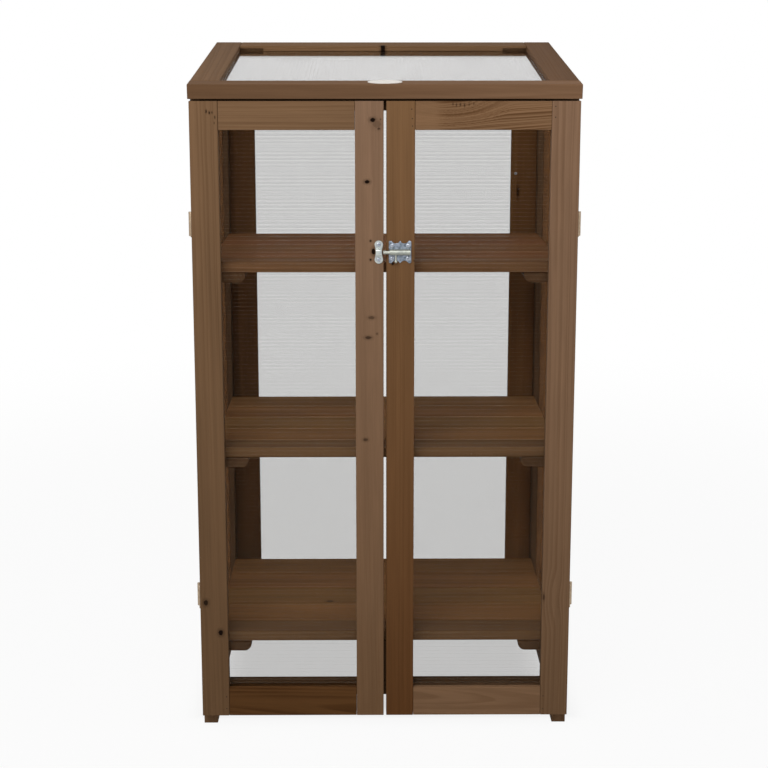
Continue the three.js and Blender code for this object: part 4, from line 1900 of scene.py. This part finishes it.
@dataclass(frozen=True)
class Shelf:
    """A shelf: a deck of boards side by side, and the two bearers under it.

    Attributes:
        word: Which shelf it is.
        board_widths: The boards' widths, front board first. The last board ends with the deck.
        gap: The fine gap between two boards.
        stains: How the boards' stains differ, front board first.
        tones: Painted light that draws this deck lighter than those stains, for the front board and for the
            others.
        ease: The radius of the boards' long edges.
        bearer_stain: How the bearers' stain differs.
        bearer_cut: How much of the bearers' lower inner corner is cut off.
    """

    word: str
    # Painted light: the decks are drawn lighter than their stains, the front board less than the others.
    tones: tuple[Colour, Colour] = ((1.10, 1.10, 1.05), (1.58, 1.52, 1.27))
    board_widths: tuple[float, ...] = (0.048, 0.076, 0.076, 0.076, 0.076)
    gap: float = 0.0004
    stains: tuple[Colour, ...] = (
        (1.10, 1.04, 0.97),
        (1.12, 0.99, 0.88),
        (1.06, 1.00, 0.88),
        (1.13, 0.98, 0.88),
        (1.06, 0.96, 0.84),
    )
    ease: float = 0.0012
    bearer_stain: Colour = (0.66, 0.60, 0.56)
    bearer_cut: float = 0.007

    def stain(self, index: int) -> Colour:
        """The stain of a board, by its number from the front, with the deck's painted light on it."""
        return tuple(part * tone for part, tone in zip(self.stains[index], self.tones[min(index, 1)]))

    def build(self) -> None:
        """Builds the shelf's pieces."""
        self.build_deck()
        for side in Side:
            self.build_bearer(side)

    def build_deck(self) -> None:
        """Builds the deck's boards as one piece."""
        node = f"{self.word}_shelf_deck"
        low, high = MODEL.box(node)
        timber = Timber()
        front = low.y
        for index, width in enumerate(self.board_widths):
            start = front + (self.gap / 2 if index else 0)
            end = front + width - self.gap / 2 if index < len(self.board_widths) - 1 else high.y
            box = (Vector((low.x, start, low.z)), Vector((high.x, end, high.z)))
            log = Log.picked_for(f"{node}_{index}")
            timber.add(Board(box, Axis.X, Axis.Z, log, self.stain(index), ease=self.ease))
            front += width
        timber.piece(node, SHELF_WOOD, Slot.WOOD)

    def build_bearer(self, side: Side) -> None:
        """Builds one bearer, with its lower inner corner cut off.

        Args:
            side: Which bearer it is.
        """
        node = f"{self.word}_shelf_{side.word}_bearer"
        board = Board(
            MODEL.box(node), Axis.Y, Axis.Z, Log.picked_for(node), self.bearer_stain,
            cut_corner=(-1, -side.value), cut_size=self.bearer_cut,
        )
        Timber().add(board).piece(node, PLAIN_WOOD, Slot.INSIDE_WOOD)


# The doors

@dataclass(frozen=True)
class Door:
    """One door: two stiles, two rails, a sheet, and the brads at its joints.

    Attributes:
        side: Which door it is.
        stains: How the stain of each member differs, at its left or lower end and at its other end, with painted
            shade at the stiles' feet.
        finishes: The wood of each member.
        logs: Where members were sawn from, where that matters.
        brads: Places of brads: the member, the share of the way across it, and the distance from its top or,
            where negative, from its bottom.
    """

    side: Side
    stains: Mapping[str, tuple[Colour, Colour]]
    finishes: Mapping[str, StainedWood]
    logs: Mapping[str, Log]
    brads: tuple[tuple[str, float, float], ...] = ()

    def build(self) -> None:
        """Builds the door's pieces."""
        sheet = f"{self.side.word}_door_sheet"
        TwinWallSheet(sheet, Axis.X).build()
        groove = groove_box(MODEL.box(sheet), Axis.Y)
        members = {
            "hinge_stile": Axis.Z,
            "meeting_stile": Axis.Z,
            "top_rail": Axis.X,
            "bottom_rail": Axis.X,
        }
        for member, along in members.items():
            node = f"{self.side.word}_door_{member}"
            log = self.logs.get(member, Log.picked_for(node))
            board = Board(MODEL.box(node), along, Axis.Y, log, *self.stains[member], groove=groove)
            Timber().add(board).piece(node, self.finishes.get(member, PLAIN_WOOD), Slot.WOOD)
        self.build_brads()
        self.build_hinges()

    def build_brads(self) -> None:
        """Sets the brads at the door's joints."""
        spots = []
        for member, share, down in self.brads:
            low, high = MODEL.box(f"{self.side.word}_door_{member}")
            x = low.x + (high.x - low.x) * share
            z = high.z - down if down > 0 else low.z - down
            spots.append((Vector((x, low.y, z)), TO_FRONT))
        name = f"{self.side.word}_door_brads"
        add_heads(name, BRAD, spots, BRAD_STEEL, f"{self.side.word}_door")

    def build_hinges(self) -> None:
        """Builds both leaves of the door's two hinges."""
        outward = Vector((self.side.value, 0, 0))
        line = joint_place(f"{self.side.word}_door_hinge")
        for word in ("upper", "lower"):
            stem = f"{self.side.word}_door_{word}_hinge"
            low, high = MODEL.box(f"{stem}_post_leaf")
            pin = Vector((line.x, line.y, (low.z + high.z) / 2))
            DOOR_HINGE.build(f"{stem}_post_leaf", pin, TO_BACK, outward, moving=False)
            DOOR_HINGE.build(f"{stem}_door_leaf", pin, TO_FRONT, outward, moving=True)


# The barrel bolt

def lengthwise(points: Sequence[Vector], start: float, end: float, ease: float = 0.0) -> bmesh.types.BMesh:
    """A flat outline pushed along X.

    Args:
        points: The outline's points, turning left.
        start: Where it starts.
        end: Where it ends.
        ease: The size of its eased rims.

    Returns:
        The new mesh.
    """
    moved = bmesh.new()
    merged(moved, extruded(points, start, end, ease), Z_ALONG_X)
    return moved


@dataclass(frozen=True)
class BarrelBolt:
    """The small bolt across the doors: a pressed plate, a sliding rod and a keeper.

    Attributes:
        stand_off: From the plates' backs to the rod's middle.
        plate: The plates' thickness.
        bore: The radius of the barrel's hole.
        shell: The thickness of the barrel and of the keeper's strap.
        rod: The rod's radius.
        scallop: How deep the plate's edges dip between their peaks.
        stem: The radius of the rod's stem.
        bead: The radius of the bead on the stem.
        travel_in: How far the rod slides towards the keeper.
        travel_out: How far it slides back.
        stem_slack: The gap beside the stem in its slot.
        keeper_slack: The gap round the rod in the keeper.
        reach: How far the rod's tip goes into the keeper's mouth.
        waist: How much narrower the keeper is at its middle, on each side.
        waist_steps: How many short edges draw each side of its waist.
        plate_ease: The size of the plate's eased rims.
        ease: The size of the barrel's and the keeper's eased rims.
        rod_ease: The size of the rod's eased ends.
        bridge_corner: The radius of the corners of the keeper's strap.
        lobe_steps: How many short edges draw each lobe of the plate.
        lobe_corner: The share of a lobe that its rounded corner takes, and that corner's share of the dip.
        lobe_start: The share of a lobe after which its edge dips.
        lobe_power: How round the dip is.
        barrel_steps: How many steps the barrel's half turn has.
        bore_steps: How many steps its hole has.
        screw_inset: How far the plate's screws stand from its ends.
        screw_drop: How far they stand from the middle between the barrel and the edge, towards the barrel.
        keeper_screw_share: How far the keeper's screws stand from its ends, as a share of their radius.
        strap_inset: How far the keeper's strap stays inside its waist, on each side.
        bead_steps: How many steps half a turn of the bead has.
        bead_rows: How many of them are drawn before the stem begins.
        neck_share: How high over the bead's middle the stem begins, as a share of the bead's radius.
        stem_turn: How many steps the stem's turn has.
        seam_share: The share of the barrel's shell under which its foot has the plate's finish.
    """

    stand_off: float = 0.0051
    plate: float = 0.0012
    bore: float = 0.0034
    shell: float = 0.0013
    rod: float = 0.003
    scallop: float = 0.0045
    stem: float = 0.0015
    bead: float = 0.0026
    travel_in: float = 0.006
    travel_out: float = 0.016
    stem_slack: float = 0.0005
    keeper_slack: float = 0.0009
    reach: float = 0.0014
    waist: float = 0.0019
    waist_steps: int = 12
    plate_ease: float = 0.00025
    ease: float = 0.0003
    rod_ease: float = 0.0006
    bridge_corner: float = 0.0022
    lobe_steps: int = 14
    lobe_corner: tuple[float, float] = (0.12, 0.3)
    lobe_start: float = 0.24
    lobe_power: float = 0.8
    barrel_steps: int = 22
    bore_steps: int = 24
    screw_inset: float = 0.0052
    screw_drop: float = 0.0012
    keeper_screw_share: float = 0.92
    strap_inset: float = 0.0001
    bead_steps: int = 14
    bead_rows: int = 11
    neck_share: float = 0.9
    stem_turn: int = 24
    seam_share: float = 0.2

    def build(self) -> None:
        """Builds the bolt's pieces."""
        self.build_plate()
        self.build_rod()
        self.build_keeper()

    def axes(self, node: str) -> tuple[Matrix, Vector, Vector]:
        """The axes of a plate, with X along the rod, Y up and Z out of the door, and the plate's box in them.

        Args:
            node: The plate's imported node.

        Returns:
            The map to the model's axes, and the box's corners, counted from the plate's back and the rod's
            height.
        """
        low, high = MODEL.box(node)
        place = Matrix.Translation((0, high.y, (low.z + high.z) / 2)) @ Z_TO_FRONT
        half = (high.z - low.z) / 2
        return place, Vector((low.x, -half, 0)), Vector((high.x, half, high.y - low.y))

    def scalloped(self, low: Vector, high: Vector) -> list[Vector]:
        """The plate's outline, with two round lobes and a peak between them above, and the same below.

        Args:
            low: The plate's lowest corner.
            high: Its highest corner.

        Returns:
            The points, turning left.
        """
        middle = (low.x + high.x) / 2
        corner_span, corner_share = self.lobe_corner

        def dip(share: float) -> float:
            """How deep the edge dips.

            Args:
                share: The share of the way along a lobe.

            Returns:
                The depth.
            """
            corner = max(0.0, 1 - share / corner_span)
            hollow = min(max((share - self.lobe_start) / (1 - self.lobe_start), 0.0), 1.0)
            return self.scallop * (corner_share * corner ** 2 + math.sin(math.pi * hollow) ** self.lobe_power)

        outline = []
        for edge, stops in ((low.y, (low.x, middle, high.x)), (high.y, (high.x, middle, low.x))):
            for number, (start, end) in enumerate(zip(stops, stops[1:])):
                for step in range(self.lobe_steps):
                    share = step / self.lobe_steps
                    fall = dip(1 - share if number else share)
                    outline.append(Vector((start + (end - start) * share, edge - math.copysign(fall, edge))))
            outline.append(Vector((stops[-1], edge - math.copysign(dip(0), edge))))
        return outline

    def build_plate(self) -> None:
        """Builds the scalloped plate, its barrel with the stem's slot, and its four screws."""
        place, low, high = self.axes("bolt_plate")
        base = extruded(self.scalloped(low, high), 0, self.plate, self.plate_ease)
        outer = self.bore + self.shell
        ends = (low.x + self.shell, high.x - self.shell)
        hood = [Vector((-outer, self.plate / 2)), Vector((outer, self.plate / 2))]
        hood += circle(outer, self.barrel_steps, (0, self.stand_off), 0, math.pi)
        rod_low, rod_high = MODEL.box("bolt_rod")
        reach = rod_high.x - rod_low.x
        stem_x = self.stem_place()
        slot_half = self.stem + self.stem_slack
        hole = circle(self.bore, self.bore_steps, (0, self.stand_off))
        slot = block(
            (stem_x - self.travel_in - slot_half, -outer - self.shell, self.stand_off - slot_half),
            (stem_x + self.travel_out + slot_half, -self.stem, self.stand_off + slot_half),
        )
        whole = combined(base, [
            (Cut.ADD, lengthwise(hood, *ends, self.ease)),
            (Cut.TAKE, lengthwise(hole, low.x - reach, high.x + reach)),
            (Cut.TAKE, slot),
        ])
        seam = self.plate + self.shell * self.seam_share
        for face in whole.faces:
            face.material_index = int(face.calc_center_median().z > seam)
        body = body_of("bolt_plate")
        add_piece(
            "bolt_plate_pressed", whole, ZINC, body, ["bolt_plate"], place, second=BARREL_ZINC,
        )
        up = (high.y - outer) / 2 + outer - self.screw_drop
        columns = (low.x + self.screw_inset, high.x - self.screw_inset)
        spots = [(place @ Vector((x, y, self.plate)), TO_FRONT) for x in columns for y in (-up, up)]
        add_heads("bolt_plate_screws", PAN_SCREW, spots, SCREW_ZINC, body)

    def stem_place(self) -> float:
        """The stem's place along X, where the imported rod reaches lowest.

        Returns:
            The place in metres.
        """
        points = MODEL.points("bolt_rod")
        lowest = min(point.z for point in points)
        foot = [point.x for point in points if point.z < lowest + self.bead / 2]
        return (min(foot) + max(foot)) / 2

    def build_rod(self) -> None:
        """Builds the rod with its rounded ends, and the stem with its bead."""
        low, high = MODEL.box("bolt_rod")
        ease = self.rod_ease
        tip = low.x - self.reach
        shaft = lathed([
            (0, tip), (self.rod - ease, tip), (self.rod, tip + ease),
            (self.rod, high.x - ease), (self.rod - ease, high.x), (0, high.x),
        ])
        axis = Vector((0, low.y + self.rod, high.z - self.rod))
        whole = bmesh.new()
        merged(whole, shaft, Matrix.Translation(axis) @ Matrix.Rotation(math.pi / 2, 4, "Y"))
        foot = low.z - axis.z
        centre = foot + self.bead
        angles = [math.pi * step / self.bead_steps for step in range(1, self.bead_rows + 1)]
        ball = [(self.bead * math.sin(angle), centre - self.bead * math.cos(angle)) for angle in angles]
        top = centre + self.bead * self.neck_share
        neck = [(self.stem, top), (self.stem, -self.rod / 2), (0, -self.rod / 2)]
        handle = bmesh.new()
        stand = Matrix.Translation((self.stem_place(), axis.y, axis.z))
        merged(handle, lathed([(0, foot), *ball, *neck], self.stem_turn), stand)
        whole = combined(whole, [(Cut.ADD, handle)])
        add_piece("bolt_rod_turned", whole, DULL_ZINC, body_of("bolt_rod"), ["bolt_rod"])

    def waisted(self, middle: float, round_end: float, turn: float) -> list[Vector]:
        """The keeper's outline: two round ends with a narrower waist between them.

        Args:
            middle: The middle of its width.
            round_end: The radius of its ends.
            turn: The height of the ends' centres.

        Returns:
            The points, turning left.
        """
        sides = []
        for step in range(1, self.waist_steps):
            share = 1 - 2 * step / self.waist_steps
            sides.append((round_end - self.waist * (1 - share ** 2), turn * share))
        left = [Vector((middle - half, height)) for half, height in sides]
        right = [Vector((middle + half, -height)) for half, height in sides]
        top = circle(round_end, 20, (middle, turn), 0, math.pi)
        return [*top, *left, *circle(round_end, 20, (middle, -turn), math.pi, math.pi), *right]

    def build_keeper(self) -> None:
        """Builds the keeper's waisted plate, its raised strap and its two screws."""
        place, low, high = self.axes("bolt_keeper")
        round_end = (high.x - low.x) / 2
        middle = (high.x + low.x) / 2
        base = extruded(self.waisted(middle, round_end, high.y - round_end), 0, self.plate, self.ease)
        strap_half = round_end - self.waist - self.strap_inset
        passage = self.rod + self.keeper_slack
        outer = passage + self.shell
        bridge = rounded([
            Corner(-outer, self.plate / 2), Corner(outer, self.plate / 2),
            Corner(outer, high.z, self.bridge_corner), Corner(-outer, high.z, self.bridge_corner),
        ], FINE_ARC_STEPS)
        points = [Vector(point[:2]) for point in bridge]
        strap = lengthwise(points, middle - strap_half, middle + strap_half, self.ease)
        top = self.stand_off + passage
        way = block((low.x - self.shell, -passage, self.plate), (high.x + self.shell, passage, top))
        whole = combined(base, [(Cut.ADD, strap), (Cut.TAKE, way)])
        body = body_of("bolt_keeper")
        add_piece("bolt_keeper_pressed", whole, PALE_ZINC, body, ["bolt_keeper"], place)
        up = high.y - round_end * self.keeper_screw_share
        spots = [(place @ Vector((middle, y, self.plate)), TO_FRONT) for y in (-up, up)]
        add_heads("bolt_keeper_screws", PAN_SCREW, spots, SCREW_ZINC, body)


# The lid

@dataclass(frozen=True)
class Lid:
    """The sloping lid: four rails, a sheet, a blank oval plate and two hinges.

    Attributes:
        notch: The length, depth and height of the notches at the ends of the back rail.
        stains: How the stain of each rail differs, at its left or front end and at its other end.
        ease: The radius of the rails' long edges.
        oval: The rings of the oval plate, from its foot inwards, each as shares of its size and its height.
        oval_steps: How many steps each ring has.
    """

    notch: tuple[float, float, float] = (0.040, 0.009, 0.0045)
    stains: Mapping[str, tuple[Colour, Colour]] = field(default_factory=lambda: {
        "front": ((0.72, 0.68, 0.66), (1.10, 1.07, 1.12)),
        "left": ((0.86, 0.85, 0.84), (0.86, 0.85, 0.84)),
        "right": ((0.70, 0.64, 0.60), (0.70, 0.64, 0.60)),
        "back": ((0.98, 0.96, 0.92), (0.82, 0.80, 0.77)),
    })
    ease: float = 0.0018
    oval: tuple[tuple[float, float], ...] = (
        (1.0, 0.0), (1.0, 0.55), (0.985, 0.85), (0.96, 1.0),
        (0.93, 1.0), (0.91, 0.8), (0.6, 0.84), (0.3, 0.87),
    )
    oval_steps: int = 72

    def build(self) -> None:
        """Builds the lid's pieces."""
        place = lid_place()
        TwinWallSheet("lid_sheet", Axis.Y, place, rib_finish=CALM_RIB_PLASTIC).build()
        groove = groove_box(place.box("lid_sheet"), Axis.Z)
        for word, stains in self.stains.items():
            node = f"lid_{word}_rail"
            along = Axis.X if word in ("front", "back") else Axis.Y
            log = Log.picked_for(node)
            board = Board(place.box(node), along, Axis.Z, log, *stains, ease=self.ease, groove=groove)
            timber = Timber().add(board)
            if word == "back":
                self.cut_notches(timber, board)
            timber.piece(node, LID_BACK_WOOD if word == "back" else PLAIN_WOOD, Slot.WOOD, place)
        self.build_plate(place)
        self.build_hinges(place)

    def cut_notches(self, timber: Timber, board: Board) -> None:
        """Cuts the shallow notches at the ends of the back rail.

        Args:
            timber: The rail's mesh, which is changed.
            board: The rail.
        """
        length, depth, height = self.notch
        low, high = board.box
        foot = board.groove[1].z
        steps = []
        for start, end in ((low.x - depth, low.x + length), (high.x - length, high.x + depth)):
            cutter = block((start, low.y - depth, foot - FACE_SLACK), (end, low.y + depth, foot + height))
            steps.append((Cut.TAKE, cutter))
        bmesh.ops.remove_doubles(timber.mesh, verts=timber.mesh.verts, dist=WELD)
        timber.mesh = combined(timber.mesh, steps)
        timber.log = timber.mesh.verts.layers.float_vector["log"]
        timber.stain = timber.mesh.verts.layers.float_color["stain"]
        for vertex in timber.mesh.verts:
            vertex[timber.log] = board.in_log(vertex.co)
            vertex[timber.stain] = board.stain_at(vertex.co)

    def build_plate(self, place: Place) -> None:
        """Builds the blank oval plate, slightly domed, with a raised rim.

        Args:
            place: The lid's own axes.
        """
        node = "lid_oval_plate"
        low, high = place.box(node)
        half = (high - low) / 2
        centre = (high + low) / 2
        mesh = bmesh.new()
        rows = []
        for share, rise in self.oval:
            height = low.z + (high.z - low.z) * rise
            wide, deep = half.x * share, half.y * share
            points = circle(1, self.oval_steps)
            rows.append([Vector((centre.x + wide * p.x, centre.y + deep * p.y, height)) for p in points])
        loft(mesh, rows)
        add_piece(f"{node}_domed", mesh, ENAMEL, body_of(node), [node], place.matrix)

    def build_hinges(self, place: Place) -> None:
        """Builds both leaves of the lid's two hinges.

        Args:
            place: The lid's own axes.
        """
        line = joint_place("lid_hinge")
        turn = place.matrix.to_3x3()
        down = Vector((0, 0, -1))
        for side in Side:
            stem = f"lid_{side.word}_hinge"
            low, high = MODEL.box(f"{stem}_back_leaf")
            pin = Vector(((low.x + high.x) / 2, line.y, line.z))
            LID_HINGE.build(f"{stem}_back_leaf", pin, down, TO_BACK, moving=False)
            LID_HINGE.build(f"{stem}_lid_leaf", pin, turn @ TO_BACK, turn @ down, moving=True)


# The studio

@dataclass(frozen=True)
class Lamp:
    """A soft lamp.

    Attributes:
        name: Its name.
        place: Where it stands.
        target: Where it looks.
        size: Its width and height.
        power: Its power in watts.
    """

    name: str
    place: tuple[float, float, float]
    target: tuple[float, float, float]
    size: tuple[float, float]
    power: float

    def build(self) -> None:
        """Adds the lamp."""
        light = bpy.data.lights.new(self.name, "AREA")
        light.shape = "RECTANGLE"
        light.size, light.size_y = self.size
        light.energy = self.power
        lamp = bpy.data.objects.new(self.name, light)
        way = Vector(self.target) - Vector(self.place)
        lamp.matrix_world = Matrix.Translation(self.place) @ way.to_track_quat("-Z", "Y").to_matrix().to_4x4()
        bpy.context.scene.collection.objects.link(lamp)


@dataclass(frozen=True)
class Studio:
    """A white room: a pale floor, a white surround, soft lamps and the camera.

    Attributes:
        fill: How bright the surround lights the object.
        shade_share: The share of plain white in the floor under the object, as the camera sees it.
        shade_half: Half the width and the depth of the floor that lies in that shade.
        floor_share: The share of plain white in the floor near the object.
        floor_near: How far from the object the floor starts to turn plain white.
        floor_far: How far from the object the floor is plain white.
        floor_size: Half the floor's width.
        camera_place: Where the camera stands.
        camera_tilt: How far it looks down.
        camera_turn: How far it turns to its right.
        lens: Its focal length in millimetres.
        shift: How far its picture is shifted, as a share of its width.
        sensor: The width of its sensor in millimetres.
        clear_faces: How many clear faces a ray may pass.
        floor_colour: The floor's colour under the lamps.
        shade_edge: Where the shade under the object starts and ends to fade, as shares of its half sizes.
        lamps: The lamps.
    """

    fill: float = 0.39
    shade_share: float = 0.67
    shade_half: tuple[float, float] = (0.27, 0.16)
    floor_share: float = 0.93
    floor_near: float = 0.9
    floor_far: float = 3.0
    floor_size: float = 30.0
    camera_place: tuple[float, float, float] = (-0.0186, -2.5601, 1.0920)
    camera_tilt: float = math.radians(10.995)
    camera_turn: float = math.radians(0.42)
    lens: float = 72.888
    shift: float = -0.06
    sensor: float = 36
    clear_faces: int = 48
    floor_colour: Colour = (0.8, 0.8, 0.8)
    shade_edge: tuple[float, float] = (0.85, 1.25)
    lamps: tuple[Lamp, ...] = (
        Lamp("key", (-0.5, -1.8, 1.95), (0, 0, 0.75), (1.6, 1.2), 25),
        Lamp("top", (0.0, -0.1, 2.6), (0, 0, 0.6), (1.8, 1.4), 3),
    )

    def build(self) -> None:
        """Builds the studio."""
        bpy.context.scene.view_settings.view_transform = "Standard"
        bpy.context.scene.cycles.transparent_max_bounces = self.clear_faces
        self.build_surround()
        self.build_floor()
        for lamp in self.lamps:
            lamp.build()
        self.build_camera()

    def build_surround(self) -> None:
        """Makes a surround that is white to look at and in mirrors, and dimmer as a lamp."""
        nodes = Nodes(bpy.data.worlds.new("surround"))
        sockets = {"Value": nodes.seen(), "To Min": self.fill, "To Max": 1.0}
        strength = nodes.add("ShaderNodeMapRange", sockets).outputs[0]
        white = nodes.add("ShaderNodeBackground", {"Color": (1, 1, 1), "Strength": strength}).outputs[0]
        bpy.context.scene.world = nodes.surface(white)

    def build_floor(self) -> None:
        """Makes a pale floor that looks white and keeps the object's shadow."""
        nodes = Nodes(bpy.data.materials.new("pale_floor"))
        matt = nodes.add("ShaderNodeBsdfDiffuse", {"Color": self.floor_colour}).outputs[0]
        plain = nodes.add("ShaderNodeEmission", {"Color": (1, 1, 1), "Strength": 1.0}).outputs[0]
        place = nodes.add("ShaderNodeTexCoord").outputs["Object"]
        away = nodes.vector("LENGTH", place)
        white = nodes.spread(away, (self.floor_near, self.floor_far), (self.floor_share, 1))
        scaled = nodes.vector("ABSOLUTE", nodes.vector("DIVIDE", place, (*self.shade_half, 1)))
        parts = nodes.add("ShaderNodeSeparateXYZ", {0: scaled}).outputs
        out = nodes.math("MAXIMUM", parts[0], parts[1])
        shade = nodes.spread(out, self.shade_edge, (self.shade_share / self.floor_share, 1))
        share = nodes.math("MULTIPLY", nodes.seen(), nodes.math("MULTIPLY", white, shade))
        material = nodes.surface(nodes.add("ShaderNodeMixShader", {0: share, 1: matt, 2: plain}).outputs[0])
        size = self.floor_size
        mesh = bpy.data.meshes.new("floor")
        corners = [(-size, -size, 0), (size, -size, 0), (size, size, 0), (-size, size, 0)]
        mesh.from_pydata(corners, [], [(0, 1, 2, 3)])
        mesh.materials.append(material)
        floor = bpy.data.objects.new("floor", mesh)
        bpy.context.scene.collection.objects.link(floor)

    def build_camera(self) -> None:
        """Sets the camera where the photograph was taken from."""
        camera = bpy.data.cameras.new("camera")
        camera.lens = self.lens
        camera.sensor_width = self.sensor
        camera.shift_y = self.shift
        holder = bpy.data.objects.new("camera", camera)
        holder.location = self.camera_place
        holder.rotation_euler = (math.pi / 2 - self.camera_tilt, 0, -self.camera_turn)
        bpy.context.scene.collection.objects.link(holder)
        bpy.context.scene.camera = holder


# The whole greenhouse

LEFT_DOOR = Door(
    Side.LEFT,
    stains={
        # The stiles are drawn darker at the foot and lighter at the top: painted light and shade for light falling
        # off towards the floor.
        "hinge_stile": ((0.70, 0.68, 0.64), (0.95, 0.94, 0.92)),
        "meeting_stile": ((0.80, 0.77, 0.73), (1.22, 1.26, 1.45)),
        "top_rail": ((0.95, 0.94, 0.92), (0.95, 0.94, 0.92)),
        "bottom_rail": ((0.53, 0.41, 0.26), (0.53, 0.41, 0.26)),
    },
    finishes={
        "hinge_stile": LEFT_HINGE_WOOD,
        "meeting_stile": LEFT_MEETING_WOOD,
        "bottom_rail": BOLD_WOOD,
    },
    logs={
        "bottom_rail": Log(0.006, 0.030, (0.05, -0.04), 3.1),
    },
    brads=(
        ("hinge_stile", 0.9, -0.012), ("hinge_stile", 0.9, -0.032),
    ),
)

RIGHT_DOOR = Door(
    Side.RIGHT,
    stains={
        # The stiles are drawn darker at the foot and lighter at the top: painted light and shade for light falling
        # off towards the floor.
        "hinge_stile": ((0.84, 0.83, 0.82), (1.25, 1.28, 1.45)),
        "meeting_stile": ((0.58, 0.42, 0.27), (0.97, 0.90, 0.78)),
        "top_rail": ((1.14, 1.10, 1.06), (1.14, 1.10, 1.06)),
        "bottom_rail": ((1.02, 1.01, 1.03), (1.02, 1.01, 1.03)),
    },
    finishes={
        "hinge_stile": RIGHT_HINGE_WOOD,
        "meeting_stile": RIGHT_MEETING_WOOD,
        "top_rail": RIGHT_TOP_RAIL_WOOD,
    },
    logs={
        "top_rail": Log(0.050, 0.012, (-0.08, 0.0), 1.4),
        "bottom_rail": Log(-0.004, 0.028, (0.06, 0.05), 5.2),
    },
    brads=(
        ("meeting_stile", 0.88, 0.012), ("meeting_stile", 0.90, 0.026), ("meeting_stile", 0.91, 0.037),
        ("hinge_stile", 0.12, 0.008), ("hinge_stile", 0.12, 0.024),
        ("hinge_stile", 0.10, -0.010), ("hinge_stile", 0.10, -0.032),
    ),
)


def main() -> None:
    """Builds the studio and every sub-assembly, in order."""
    logging.basicConfig(level=logging.INFO, format="%(name)s: %(message)s")
    assemblies = [
        Studio(),
        SideFrame(Side.LEFT),
        SideFrame(Side.RIGHT),
        BackFrame(),
        FrontBattens(),
        # The top deck is drawn with less painted light than the two decks below it.
        Shelf("top", ((1.12, 1.04, 0.98), (1.22, 1.05, 0.95))),
        Shelf("middle"),
        Shelf("bottom"),
        LEFT_DOOR,
        RIGHT_DOOR,
        BarrelBolt(),
        Lid(),
    ]
    for assembly in assemblies:
        LOG.info("building %s", type(assembly).__name__)
        assembly.build()


if __name__ == "__main__":
    main()
